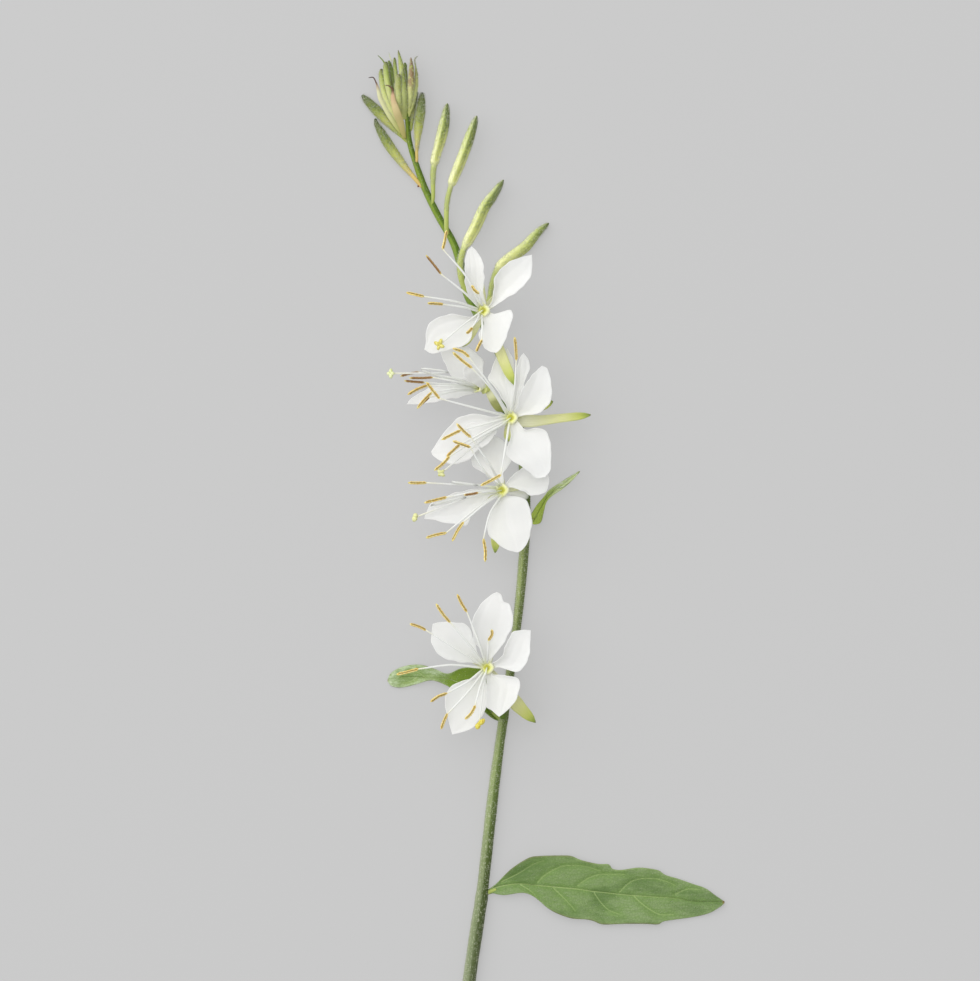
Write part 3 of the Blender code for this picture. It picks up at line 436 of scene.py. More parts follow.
def stemGreen():
    paint = Paint("stemGreen", roughness=0.6, Specular_IOR_Level=0.2)
    along = paint.mark("along")
    # The stem is painted in light and shade: the first ramp is the colour of its lit side, and the second, laid over
    # its right side, is painted shade.
    lit = paint.ramp(along, (0.0, (0.18, 0.215, 0.12)), (0.18, (0.18, 0.22, 0.105)),
                     (0.3, (0.25, 0.31, 0.125)), (0.5, (0.28, 0.34, 0.125)),
                     (0.75, (0.17, 0.26, 0.03)), (1.0, (0.18, 0.26, 0.025)))
    deep = paint.ramp(along, (0.0, (0.115, 0.14, 0.065)), (0.18, (0.045, 0.07, 0.01)),
                      (0.3, (0.10, 0.15, 0.03)), (0.5, (0.12, 0.16, 0.045)),
                      (0.75, (0.08, 0.15, 0.012)), (1.0, (0.08, 0.14, 0.01)))
    streaks = paint.noise(1000, stretch=(1, 0.05, 1), detail=3)
    specks = paint.noise(3600, stretch=(1, 0.45, 1), detail=2)
    side = paint.mark("right")
    right = paint.step(side + (streaks - 0.5) * 0.8, -0.25, 0.2)
    colour = paint.mix(lit, deep, right * 0.92)
    # Where there is down, the left edge is greyed: partly the down's own colour and partly painted light on the lit
    # side. The pale specks are the down itself.
    downy = 1 - paint.step(along, 0.5, 0.75) * 0.8
    colour = paint.mix(colour, (0.42, 0.46, 0.31), paint.step(side * -1.0, 0.45, 0.95) * downy * 0.45)
    colour = paint.mix(colour, (0.50, 0.53, 0.38), paint.step(specks, 0.54, 0.70) * downy * 0.5)
    colour = paint.mix(colour, (0.10, 0.14, 0.035), paint.step(streaks, 0.56, 0.72) * 0.45)
    colour = paint.mix(colour, (0.46, 0.44, 0.24), paint.mark("cut"))
    paint.bump(streaks + specks * 0.5, 0.4, 0.00012)
    return paint.finish(colour)


def leafGreen(name, top, pale, dark, rib):
    # top is the blade between its veins, pale its hairy bloom, which also carries painted sheen, and dark its deeper
    # patches
    paint = Paint(name, roughness=0.55, Specular_IOR_Level=0.25)
    patches = paint.noise(210, stretch=(0.4, 1, 1), detail=5, roughness=0.6)
    patch = paint.step(patches, 0.46, 0.62)
    bloom = paint.noise(2700, stretch=(0.25, 1, 1), detail=6, roughness=0.75)
    net = paint.add("TexVoronoi", {"feature": "DISTANCE_TO_EDGE"},
                    {"Vector": paint.add("TexCoord", output="Object"), "Scale": 2000.0})
    colour = paint.mix(top, dark, patch * 0.6)
    # The pale bloom is partly the hairs' grey and partly painted sheen; it is strongest on the raised blade between
    # veins.
    hairsAndSheen = (paint.step(bloom, 0.36, 0.62) * 0.6 + 0.4) * paint.mark("bloom")
    colour = paint.mix(colour, pale, hairsAndSheen * (1 - patch * 0.5))
    colour = paint.mix(colour, dark, (1 - paint.step(net, 0.02, 0.14)) * 0.25)
    colour = paint.mix(colour, rib, paint.mark("vein"))
    edge = paint.step(paint.mark("rim"), 0.93, 1.0)
    colour = paint.mix(colour, rib, edge * 0.25)
    colour = paint.mix(colour, (0.13, 0.09, 0.05), edge * paint.step(patches, 0.47, 0.56) * 0.45)
    colour = paint.mix(colour, (0.34, 0.12, 0.06), paint.step(paint.mark("along"), 0.98, 1.0) * 0.7)
    paint.bump(net * 2 + bloom, 0.4, 0.0001)
    return paint.finish(colour, seeThrough=0.08, glow=(0.3, 0.5, 0.1))


def hairWhite():
    paint = Paint("hairWhite", roughness=0.5, Specular_IOR_Level=0.2)
    shade = paint.ramp(paint.mark("along"), (0.0, (0.62, 0.65, 0.48)), (1.0, (0.84, 0.85, 0.80)))
    return paint.finish(shade, seeThrough=0.3, glow=(0.85, 0.86, 0.78))


def scarBrown():
    paint = Paint("scarBrown", roughness=0.7, Specular_IOR_Level=0.15)
    grain = paint.noise(2400, detail=3)
    return paint.finish(paint.mix((0.16, 0.055, 0.03), (0.34, 0.22, 0.10), paint.step(grain, 0.4, 0.65)))


whitePetal = petalWhite()
whiteFilament = filamentWhite()
goldAnther = antherGold()
greenThroat = throatGreen()
greenStigma = stigmaGreen()
greenSepal = sepalGreen()
greenTube = tubeGreen()
greenBud = budGreen()
greenYoung = youngGreen()
tanBract = bractTan()
greenStem = stemGreen()
paleHair = hairWhite()
brownScar = scarBrown()
longLeafGreen = leafGreen("longLeafGreen", (0.15, 0.26, 0.055), (0.27, 0.34, 0.18), (0.06, 0.12, 0.025),
                          (0.39, 0.50, 0.20))
middleLeafGreen = leafGreen("middleLeafGreen", (0.17, 0.265, 0.025), (0.50, 0.60, 0.38), (0.10, 0.19, 0.02),
                            (0.50, 0.58, 0.30))
# The small leaf's blade colour is partly its own bright green and partly painted light against flower D's shadow on
# it.
smallLeafGreen = leafGreen("smallLeafGreen", (0.47, 0.60, 0.11), (0.74, 0.75, 0.76), (0.30, 0.42, 0.06),
                           (0.12, 0.20, 0.04))
petioleGreen = leafGreen("petioleGreen", (0.40, 0.48, 0.12), (0.52, 0.58, 0.22), (0.28, 0.37, 0.07),
                         (0.44, 0.52, 0.16))
print("materials made")


# The blades: petals, sepals, bracts and leaves

def drawn(oneEdge, tip, otherEdge, heights, cup=0.5, lean=0.0, root=(0, 0), rib=None, folds=()):
    # A blade seen in plan. cup lifts both edges, lean lifts the first edge and lowers the other,
    # and a fold is (place from -1 to 1, half width, height).
    return {"edges": (oneEdge, otherEdge), "tip": tip, "root": root, "rib": rib,
            "heights": heights, "cup": cup, "lean": lean, "folds": folds}


def drawnGrid(drawing, rows, cols, pointed=False, rootHalfWidth=0.45):
    root = np.array(drawing["root"], float)
    tip = np.array(drawing["tip"], float)
    oneEdge, otherEdge = drawing["edges"]
    heading = unit(tip - root)
    across = np.array((-heading[1], heading[0])) * rootHalfWidth
    if (np.array(oneEdge[0]) - root).dot(across) < (np.array(otherEdge[0]) - root).dot(across):
        across = -across
    samples = 241
    one = smoothCurve([root + across, *oneEdge, tip], samples)
    other = smoothCurve([root - across, *otherEdge, tip], samples)
    share = np.linspace(0, 1, rows)
    t = (share if pointed else np.sin(0.5 * math.pi * share) ** 1.15) * 0.996
    v = np.linspace(-1, 1, cols)
    left = pointAlong(one, t)[:, None]
    right = pointAlong(other, t)[:, None]
    middle = (left + right) / 2
    if drawing["rib"]:
        middle = pointAlong(smoothCurve([root, *drawing["rib"], tip], samples), t)[:, None]
    side = np.where(v[None, :, None] < 0, left, right)
    flat = middle + (side - middle) * np.abs(v)[None, :, None]
    spread = np.sin(math.pi * np.minimum(t * 1.15, 1) ** 0.8)[:, None]
    height = valueAlong(drawing["heights"], t)[:, None]
    height = height + (drawing["cup"] * v ** 2 - drawing["lean"] * v)[None] * spread
    body = np.sin(math.pi * t ** 0.8)[:, None]
    for place, halfWidth, depth in drawing["folds"]:
        height = height + depth * np.exp(-((v[None] - place) / halfWidth) ** 2) * body
    grid = np.concatenate([flat, height[..., None]], axis=-1)
    return grid, t[:, None], v[None, :]


def petalGrid(drawing, rise):
    # A petal rises towards its tip, and has soft creases, a wavy edge and a rim that turns up
    grid, t, v = drawnGrid(drawing, 52, 37)
    body = np.sin(math.pi * np.minimum(t * 1.02, 1))
    waves = draw.uniform(0, 6, 6)
    grid[..., 2] += rise * t ** 1.3
    grid[..., 2] += 0.22 * np.abs(v) ** 7 * body + 0.14 * t ** 9
    grid[..., 2] += np.abs(v) ** 3 * body * 0.16 * np.sin(9 * t + 2 * v + waves[0])
    for place, halfWidth in zip((-0.45, 0.3), draw.uniform(0.12, 0.2, 2)):
        middle = place + draw.uniform(-0.2, 0.2) + 0.12 * np.sin(3 * t + waves[1])
        crease = np.exp(-((v - middle) / halfWidth) ** 2)
        grid[..., 2] -= draw.uniform(0.03, 0.10) * crease * np.sin(math.pi * t ** draw.uniform(0.6, 1.2))
    across = unit(grid[:, -1:, :2] - grid[:, :1, :2])
    shift = np.abs(v) ** 5 * body * (0.09 * np.sin(23 * t + waves[2]) + 0.06 * np.sin(41 * t + waves[3]))
    grid[..., :2] += across * (np.sign(v) * shift)[..., None]
    return grid, t, v


def routedGrid(route, widths, cup, rows, cols):
    # A blade along a route in space, with its half widths from root to tip
    line = smoothCurve(route, rows)
    t = np.linspace(0, 1, rows)
    v = np.linspace(-1, 1, cols)
    ahead = unit(np.gradient(line, axis=0))
    side = unit(np.cross(ahead, (0, 0, 1)))
    up = np.cross(side, ahead)
    widths = (valueAlong(widths, t) * np.clip((1 - t) * 12 + 0.01, 0, 1) ** 0.5)[:, None, None]
    grid = line[:, None] + (side[:, None] * v[None, :, None] + up[:, None] * cup * v[None, :, None] ** 2) * widths
    return grid, t[:, None], v[None, :]


# Flowers. A petal, sepal, stalk or stamen is measured from its flower's centre. A sepal is its route
# and half widths, and a stamen is (far end of the anther, near end, height, points its filament passes).

flowerSizes = {
    "petalThickness": 0.14,
    "petalRise": 1.3,       # how much higher a petal's tip is than its root
    "sepalThickness": 0.26,
    "sepalWidths": (0.5, 0.75, 0.85, 0.92, 0.85, 0.35),
    "filamentRadii": (0.21, 0.21, 0.2, 0.17, 0.12),
    "styleRadius": 0.15,
    "antherRadius": 0.27,
    "throatRadius": 0.92,   # the ring that the filaments stand on
    "footGap": 0.42,        # the least angle between two filaments' feet
    "scaleRadius": 0.25,    # the small scales at the filaments' feet
}

flowers = {
    "A": {
        "centre": (-10.8, 44.8, 10.5),
        "facing": (-0.25, 0.05, 1.0),
        "petals": [
            drawn([(-1.1, 1.1), (-2.8, 2.7), (-3.4, 5.6), (-3.4, 8.3), (-3.1, 10.4)], (-2.2, 11.5),
                  [(0.4, 1.3), (-0.1, 2.7), (0.0, 5.6), (-0.1, 8.1), (-1.1, 10.4)],
                  (0, 1.0, 1.6, 1.4), cup=0.6),
            drawn([(1.3, 1.3), (1.7, 3.8), (2.0, 5.9), (3.1, 7.6), (5.6, 9.2)], (8.6, 10.0),
                  [(1.8, 0.8), (3.4, 1.8), (5.6, 3.2), (7.4, 4.7), (8.6, 7.0)],
                  (0, 0.9, 1.4, 1.2), cup=0.7),
            drawn([(1.8, -0.6), (3.4, -0.2), (5.0, 0.1), (5.0, -1.6), (4.1, -4.5), (3.1, -6.7)],
                  (2.2, -7.6), [(0.0, -2.5), (-0.8, -3.8), (-0.7, -5.4), (0.7, -7.2)],
                  (0, 0.9, 1.7, 2.0), cup=0.4),
            drawn([(-2.0, -1.1), (-5.2, -0.7), (-7.4, -0.9), (-9.4, -2.0), (-10.4, -3.6), (-10.4, -5.6)],
                  (-10.7, -7.0),
                  [(-1.9, -2.9), (-2.2, -4.5), (-3.4, -6.3), (-5.2, -6.7), (-7.4, -7.4), (-9.4, -7.7)],
                  (0, 0.2, 0.2, -0.2), cup=0.6),
        ],
        "sepals": [
            [(-0.2, -0.2, -1.35), (-2.0, -3.4, -1.0), (-4.0, -6.5, -0.8)],
            [(0.1, -0.2, -1.35), (2.0, -5.0, -0.4), (3.8, -9.7, 0.6), (5.6, -13.5, 0.9)],
            [(0.0, 0.2, -1.35), (-0.8, 4.0, -1.4), (-1.6, 7.5, -2.0)],
            [(0.2, 0.2, -1.35), (3.0, 3.0, -1.3), (5.2, 5.6, -1.9)],
        ],
        "stalk": [(-0.9, -0.9, -8.5), (-0.9, -0.6, -6.0), (-0.2, -0.2, -3.2)],
        "stamens": [
            ((-10.4, 9.9), (-7.7, 6.5), 5.5, [(-3.5, 3.2)]),
            ((-6.7, 14.4), (-7.4, 11.0), 5.0, [(-3.2, 6.1)]),
            ((-13.9, 3.2), (-10.8, 2.5), 6.0, [(-5.2, 1.6)]),
            ((-10.1, 1.3), (-7.4, 1.1), 4.5, [(-3.8, 0.6)]),
            ((-2.2, 4.5), (-1.0, 3.1), 6.5, [(-0.6, 1.6)]),
            ((-3.2, -4.1), (-2.2, -3.2), 5.0, [(-1.2, -1.6)]),
            ((-1.4, -7.4), (-0.4, -5.4), 5.2, [(-0.3, -2.8)]),
        ],
        "style": ((-7.9, -6.1), 3.2, [(-4.5, -3.2)]),
        "stigma": (1.15, 0.75), "bowl": 1.0, "pale": 0.9, "spent": (0,), "sepalWidths": {},
    },
    "B": {
        "centre": (-11.2, 30.8, 6.5),
        "facing": (-0.8, 0.05, 0.6),
        "petals": [
            drawn([(-2.3, 1.3), (-5.4, 2.2), (-6.7, 4.9), (-7.4, 6.7)], (-5.8, 8.3),
                  [(0.2, 2.5), (0.2, 4.9), (-1.1, 6.5), (-3.2, 7.7)],
                  (-0.1, -1.9, -1.7, -0.6), cup=0.4),
            drawn([(-1.4, 0.9), (-2.9, 1.9), (-3.3, 3.4)], (-2.6, 4.3),
                  [(0.1, 1.6), (-0.3, 3.0), (-1.2, 3.9)],
                  (0.7, 3.2, 5.0, 5.8), cup=0.2, root=(0.5, 0.1)),
            drawn([(-1.0, -0.7), (-3.6, -1.4), (-6.3, -1.9), (-10.3, -2.7)], (-13.5, -2.8),
                  [(-2.7, 0.5), (-5.6, 1.0), (-9.0, 0.4), (-12.4, -1.6)],
                  (-0.7, -1.4, -0.8, 0.0), cup=0.0, lean=0.8, root=(-0.2, -0.1)),
            drawn([(-1.9, 0.7), (-4.6, 2.6), (-5.9, 4.6)], (-5.2, 6.4),
                  [(-0.3, 1.8), (-0.9, 4.4), (-3.0, 6.2)],
                  (-0.2, -2.8, -3.8, -4.6), cup=0.3),
        ],
        "sepals": [
            [(1.1, -0.1, -0.8), (2.0, -1.6, 0.0), (2.8, -2.9, 0.4), (3.8, -4.1, 0.2)],
        ],
        "stalk": [(4.5, -4.0, -4.9), (3.3, -2.9, -3.6), (2.3, -1.4, -2.3)],
        "stamens": [
            ((-14.6, 2.2), (-11.3, 2.9), 4.5, [(-5.6, 2.0)]),
            ((-13.0, 1.9), (-8.8, 2.0), 6.0, [(-4.4, 1.2)]),
            ((-13.9, 1.4), (-10.3, 1.1), 3.2, [(-5.2, 0.7)]),
            ((-13.3, -1.1), (-9.7, 0.6), 4.8, [(-4.9, 0.4)]),
            ((-11.6, -3.6), (-9.0, -0.7), 6.2, [(-4.5, 0.0)]),
            ((-11.0, -2.9), (-9.5, -1.6), 3.4, [(-4.8, -0.4)]),
        ],
        "style": ((-16.2, 2.7), 6.2, [(-11.2, 3.5), (-5.8, 2.9)]),
        "stigma": (0.8, 0.0), "bowl": 0.3, "pale": 0.8, "spent": (0, 1, 2, 5), "sepalWidths": {},
        # flower B's sepals are painted darker beyond their middle as painted shade
        "throat": 0.5, "deep": 0.8,
    },
    "C": {
        "centre": (-5.8, 25.6, 10.0),
        "facing": (-0.25, -0.05, 1.0),
        "petals": [
            drawn([(-1.1, 2.3), (-2.5, 4.7), (-4.1, 6.8), (-3.8, 8.3), (-3.1, 10.1), (-2.2, 11.7)],
                  (-0.9, 12.6), [(0.2, 2.3), (0.4, 4.7), (0.5, 7.7), (0.2, 10.4)],
                  (0, -0.5, -1.2, -1.6)),
            drawn([(0.4, 2.6), (0.5, 4.7), (0.8, 6.5), (0.9, 8.6), (1.4, 10.6)], (2.1, 11.6),
                  [(1.0, 2.4), (1.6, 4.2), (2.3, 6.4), (3.1, 8.6), (3.1, 10.1)],
                  (0, -0.5, -0.9, -0.6), cup=0.2),
            drawn([(1.0, 2.0), (1.2, 3.6), (2.5, 6.1), (4.2, 8.2)], (5.4, 9.3),
                  [(2.2, 0.4), (4.5, 0.7), (6.0, 1.6), (7.2, 4.0), (6.9, 6.8), (6.4, 8.7)],
                  (0, 0.6, 0.9, 0.6), cup=0.7),
            drawn([(-0.2, -3.2), (-0.9, -5.8), (-0.5, -7.5), (1.3, -8.4), (2.7, -9.5), (4.2, -10.8)],
                  (6.0, -10.7),
                  [(2.3, -2.1), (4.2, -1.9), (5.6, -2.2), (6.7, -3.3), (7.0, -5.8), (7.0, -9.1)],
                  (0, 0.4, 0.6, 0.0), cup=0.6),
            drawn([(-4.0, 0.2), (-6.5, 0.7), (-8.5, 0.4), (-10.1, -0.5), (-11.9, -2.3), (-13.3, -4.3)],
                  (-14.5, -6.1),
                  [(-2.9, -2.3), (-4.7, -4.3), (-6.5, -6.3), (-8.1, -7.7), (-10.1, -8.4), (-12.2, -8.0),
                   (-14.0, -7.0)],
                  (0, -0.5, -1.2, -2.0)),
            drawn([(-2.9, -0.9), (-5.2, -0.7), (-7.8, -1.1), (-8.3, -1.8), (-7.4, -2.9), (-6.2, -4.4)],
                  (-5.4, -5.5), [(-1.6, -1.6), (-2.4, -2.1), (-3.1, -3.1), (-3.9, -4.3)],
                  (0, 0.6, 0.7, 0.5), cup=0.0),
        ],
        "sepals": [
            [(0.2, -0.5, -1.35), (4.0, -0.6, -1.4), (8.8, -0.1, -2.2), (14.2, 0.5, -3.4)],
            [(0.2, 0.1, -1.35), (3.6, 1.5, -1.35), (7.4, 2.9, -1.6)],
            [(-0.1, -0.2, -1.35), (-0.4, -2.0, -1.1), (-0.6, -4.3, -1.2)],
            [(0.1, 0.2, -1.35), (0.7, 2.0, -1.7), (1.4, 4.0, -2.2)],
        ],
        "stalk": [(0.9, -0.4, -7.9), (0.8, -0.3, -5.6), (0.4, 0.0, -3.0)],
        "stamens": [
            ((-10.6, 12.4), (-7.7, 10.8), 7.6, [(-4.1, 6.1)]),
            ((-10.6, 11.7), (-7.2, 8.9), 6.4, [(-3.6, 5.0)]),
            ((0.5, 14.4), (0.8, 10.3), 6.5, [(0.5, 5.2)]),
            ((-12.6, -4.0), (-9.2, -2.3), 3.2, [(-5.0, -1.2)]),
            ((-15.3, 6.3), (-13.0, 3.4), 7.0, [(-5.8, 1.5)]),
            ((-5.6, -12.2), (-2.0, -10.3), 5.0, [(-1.1, -5.0)]),
            ((-11.7, -7.0), (-9.4, -4.9), 3.4, [(-4.8, -2.4)]),
            ((-13.9, -9.5), (-11.2, -7.0), 4.6, [(-5.6, -3.4)]),
        ],
        "style": ((-12.6, -9.9), 2.6, [(-6.6, -5.0)]),
        "stigma": (0.75, 0.2), "bowl": 1.0, "pale": 0.8, "spent": (),
        "sepalWidths": {0: (1.1, 1.1, 0.85, 0.75, 0.7, 0.35)},
    },
    "D": {
        "centre": (-7.4, 12.6, 8.5),
        "facing": (-0.25, -0.05, 1.0),
        "petals": [
            drawn([(-2.3, 2.3), (-3.6, 3.1), (-5.3, 4.3), (-5.8, 5.6), (-5.2, 7.2), (-4.1, 8.8)],
                  (-2.3, 9.7),
                  [(0.0, 2.8), (0.8, 4.0), (1.4, 5.4), (1.2, 7.0), (0.5, 8.2), (-0.7, 9.4)],
                  (0, -0.9, -1.6, -2.2), cup=0.3),
            drawn([(1.6, 2.4), (3.2, 3.8), (5.4, 4.2), (7.4, 3.6)], (8.3, 2.2),
                  [(1.3, 0.45), (2.4, 0.25), (3.9, -0.35), (4.7, -0.85), (6.4, -0.9), (7.6, -0.4), (8.2, 0.9)],
                  (0, -0.3, -0.6, -1.0), cup=0.3),
            drawn([(0.6, -1.0), (2.1, -1.1), (3.1, -1.3), (4.0, -1.8), (4.6, -2.4), (4.95, -3.5), (5.2, -6.5),
                   (4.5, -9.2), (3.5, -10.7)],
                  (2.6, -11.2),
                  [(-1.1, -1.7), (-2.0, -3.4), (-2.8, -5.7), (-2.6, -7.8), (-1.3, -9.4), (0.7, -10.7)],
                  (0, 0.6, 0.7, 0.0), cup=-0.6),
            drawn([(-2.6, 0.1), (-4.3, 0.2), (-7.0, -0.1), (-10.1, -1.1), (-12.8, -2.4), (-13.9, -4.4)],
                  (-14.1, -5.2),
                  [(-2.0, -0.9), (-3.6, -2.4), (-5.5, -4.6), (-6.7, -6.4), (-7.8, -6.1), (-9.9, -6.0),
                   (-12.2, -5.4)],
                  (0, 0.5, 0.5, 0.0)),
        ],
        "sepals": [
            [(0.0, -0.2, -1.35), (-1.0, -5.5, -1.3), (-1.4, -11.3, -1.5)],
            [(-0.2, 0.0, -1.35), (-3.8, -1.0, -1.5), (-7.0, -2.4, -2.0)],
            [(0.2, 0.1, -1.35), (3.3, 1.0, -1.9), (6.0, 1.3, -2.6)],
            [(0.0, 0.2, -1.35), (-1.2, 3.4, -2.5), (-2.0, 6.0, -3.3)],
        ],
        "stalk": [(4.0, -1.2, -6.4), (3.5, -1.0, -4.6), (1.6, -0.4, -2.8)],
        "stamens": [
            ((-17.0, 1.3), (-13.8, 1.3), 5.5, [(-9.4, 1.5), (-4.5, 0.8)]),
            ((-14.1, -2.3), (-10.1, -1.3), 4.5, [(-5.0, -0.3)]),
            ((-7.0, -0.9), (-4.5, -0.5), 6.0, [(-2.2, -0.2)]),
            ((-13.8, -8.6), (-10.2, -7.7), 3.0, [(-5.2, -3.6)]),
            ((-9.1, -9.2), (-7.1, -5.8), 4.8, [(-3.6, -2.8)]),
            ((-3.2, -12.9), (-3.5, -8.8), 3.0, [(-2.4, -4.4)]),
            ((-8.3, 11.9), (-5.8, 9.5), 9.0, [(-2.4, 4.6)]),
            ((-9.0, 8.8), (-5.9, 7.7), 7.6, [(-3.2, 3.2)]),
        ],
        "style": ((-15.7, -4.9), 3.2, [(-13.0, -2.8), (-6.4, -1.2)]),
        "stigma": (0.6, 0.25), "bowl": 0.8, "pale": 0.9, "spent": (2,), "sepalWidths": {},
        # flower D's tube is painted near white, partly as painted light under its petals
        "tubePaleAndLit": 0.9, "stigmaWay": (0.25, 0.97, 0.0),
    },
    "E": {
        "centre": (-10.1, -19.3, 8.5),
        "facing": (-0.2, 0.0, 1.0),
        "petals": [
            drawn([(-1.7, 2.4), (-2.4, 4.7), (-3.2, 6.9), (-4.3, 7.9), (-6.1, 8.2), (-8.5, 8.2)],
                  (-9.9, 7.9),
                  [(-2.4, 0.8), (-4.8, 1.0), (-7.3, 1.5), (-9.1, 2.7), (-10.1, 4.3), (-10.1, 6.2)],
                  (0, 0.5, 0.6, 0.3)),
            drawn([(-1.3, 3.2), (-2.4, 4.7), (-2.9, 7.7), (-2.0, 10.4), (-0.8, 11.9), (0.6, 13.1)], (1.6, 13.6),
                  [(0.8, 1.7), (2.2, 3.6), (3.5, 5.5), (4.4, 7.7), (4.4, 9.9), (3.8, 11.4), (2.8, 11.9),
                   (2.4, 13.1)],
                  (0, 1.0, 1.5, 1.2), cup=0.6),
            drawn([(2.2, 1.7), (3.3, 4.2), (4.3, 6.2), (6.1, 6.8)], (7.7, 6.7),
                  [(1.8, 0.1), (3.5, -0.3), (5.0, -0.8), (6.3, 0.1), (7.3, 1.7), (7.6, 4.3)],
                  (0, 0.6, 1.0, 0.8), cup=0.6),
            drawn([(0.9, -1.2), (2.1, -1.3), (4.5, -1.6), (5.7, -2.5), (5.6, -4.2), (4.7, -6.3), (3.2, -7.9)],
                  (2.0, -8.8), [(-0.2, -2.9), (-0.4, -5.3), (-0.2, -7.0), (0.7, -7.7)],
                  (0, 0.3, 0.4, 0.2)),
            drawn([(-2.4, -1.8), (-5.2, -2.5), (-7.1, -4.0), (-7.8, -5.9), (-7.4, -7.9), (-6.9, -10.2)],
                  (-6.4, -12.0),
                  [(-0.4, -2.0), (0.0, -3.8), (-0.2, -6.4), (-0.9, -8.5), (-2.0, -10.0), (-3.3, -11.1),
                   (-4.8, -11.6)],
                  (0, 0.2, 0.2, -0.2)),
        ],
        "sepals": [
            [(0.1, -0.2, -1.35), (3.0, -3.8, -1.6), (5.6, -7.0, -3.0), (8.6, -9.9, -4.6)],
            [(0.0, 0.2, -1.35), (0.3, 4.2, -1.3), (0.8, 7.6, -1.8)],
            [(-0.2, 0.1, -1.35), (-3.6, 2.4, -1.4), (-6.4, 3.9, -2.0)],
            [(-0.1, -0.2, -1.35), (-2.4, -3.8, -1.5), (-3.8, -7.0, -2.2)],
        ],
        "stalk": [(2.6, -8.4, -6.0), (1.7, -6.0, -5.4), (0.8, -2.8, -3.9)],
        "stamens": [
            ((-5.5, 13.2), (-3.8, 10.1), 5.0, [(-1.8, 5.0)]),
            ((-9.3, 11.5), (-6.8, 8.2), 5.5, [(-3.2, 4.0)]),
            ((-14.0, 7.9), (-11.2, 6.8), 5.0, [(-5.4, 3.2)]),
            ((0.7, 6.9), (0.1, 5.0), 6.5, [(0.0, 2.6)]),
            ((-16.4, -1.2), (-12.5, -0.2), 5.0, [(-6.8, 0.5)]),
            ((-10.3, -6.1), (-7.4, -4.6), 4.0, [(-3.8, -2.6)]),
            ((-8.4, -11.0), (-7.3, -8.3), 3.6, [(-3.8, -4.6)]),
            ((-4.1, -9.2), (-2.3, -6.8), 5.0, [(-1.4, -3.4)]),
        ],
        "style": ((-1.6, -10.1), 3.2, [(-1.0, -5.0)]),
        "stigma": (1.0, 1.0), "bowl": 1.2, "pale": 0.8, "spent": (),
        "sepalWidths": {0: (0.5, 0.8, 1.05, 1.25, 0.95, 0.35)}, "stigmaWay": (0.68, 0.73, 0.0),
    },
}


def filamentLine(centre, axis, foot, through, lift, count):
    # From its foot on the throat along the flower's axis, then over towards the anther
    start = centre + axis * 0.75 + foot
    reach = [math.hypot(*point) for point in through]
    points = [start]
    for point, distance in zip(through, reach):
        rise = math.sin(0.5 * math.pi * distance / reach[-1])
        height = start[2] - centre[2] + (lift - start[2] + centre[2]) * rise
        points.append(centre + np.array((*point, height)))
    first = start + axis * 0.35 + (points[1] - start) * 0.1
    return smoothCurve([start, first, *points[1:]], count)


def antherShape(near, far, sizes, spent):
    # Two pollen sacs side by side, with dark slits along them
    bend = draw.normal(size=3) * 0.14
    line = smoothCurve([near, (near + far) / 2 + bend, far], 30)
    t = np.linspace(0, 1, 30)
    turns = np.linspace(0, 2 * math.pi, 16, endpoint=False)
    twist = draw.uniform(-0.4, 0.4) + draw.uniform(-0.4, 0.4) * t
    facing = turns[None] + math.pi / 2 + twist[:, None]  # 0 is the upper side
    top = np.exp(-(np.angle(np.exp(1j * facing)) / 0.48) ** 2)
    under = np.exp(-(np.angle(-np.exp(1j * facing)) / 0.48) ** 2)
    ends = np.clip(np.minimum(t, 1 - t) * 9, 0.2, 1) ** 0.6
    lumps = 1 + 0.07 * np.sin(t * 37 + draw.uniform(0, 6)) + 0.05 * np.sin(t * 61 + draw.uniform(0, 6))
    girth = sizes["antherRadius"] * (0.8 if spent > 0.5 else 1)
    radii = girth * (ends * lumps)[:, None] * (1 - 0.35 * top - 0.35 * under)
    inside = np.clip(ends * 1.6 - 0.6, 0, 1)[:, None]
    tipGreen = np.clip(np.abs(t - 0.5) * 14 - 6, 0, 1) * draw.uniform(0.1, 0.8)
    marks = {"groove": np.clip(top + under, 0, 1) * inside,
             "flank": np.clip(np.sin(facing), 0, 1),
             "spent": spent * np.clip(np.minimum(t, 1 - t) * 7, 0, 1)[:, None],
             "tipGreen": tipGreen[:, None]}
    return tube(line, radii, 16, marks)


def stigmaShape(tip, before, reach, pollen, way):
    # Four short lobes that spread from the end of the style, or lie along one way in a long mass
    axis = unit(unit(tip - before) * 0.5 + np.array((0, 0, 0.7)))
    side = unit(np.cross(axis, (0.3, 1, 0.2)))
    up = np.cross(side, axis)
    marks = {"pollen": pollen}
    middle = smoothCurve([tip - axis * 0.3, tip, tip + axis * 0.15], 6)
    lobes = [tube(middle, [0.2, 0.3, 0.38, 0.38, 0.3, 0.12], 10, marks)]
    for number, turn in enumerate(np.arange(4) * math.pi / 2 + draw.uniform(0, 1.5)):
        out = side * math.cos(turn) + up * math.sin(turn)
        if way:
            out = out * 0.22 + np.array(way) * (1.2 if number % 2 else -1.0)
        length = reach * draw.uniform(0.8, 1.1)
        line = smoothCurve([tip, tip + out * length * 0.55 + axis * 0.22, tip + out * length + axis * 0.02], 10)
        radii = np.array([0.2, 0.27, 0.31, 0.33, 0.34, 0.34, 0.32, 0.28, 0.22, 0.1]) * draw.uniform(0.85, 1.1)
        lobes.append(tube(line, radii * (1.3 if way else 1), 10, marks))
    return lobes


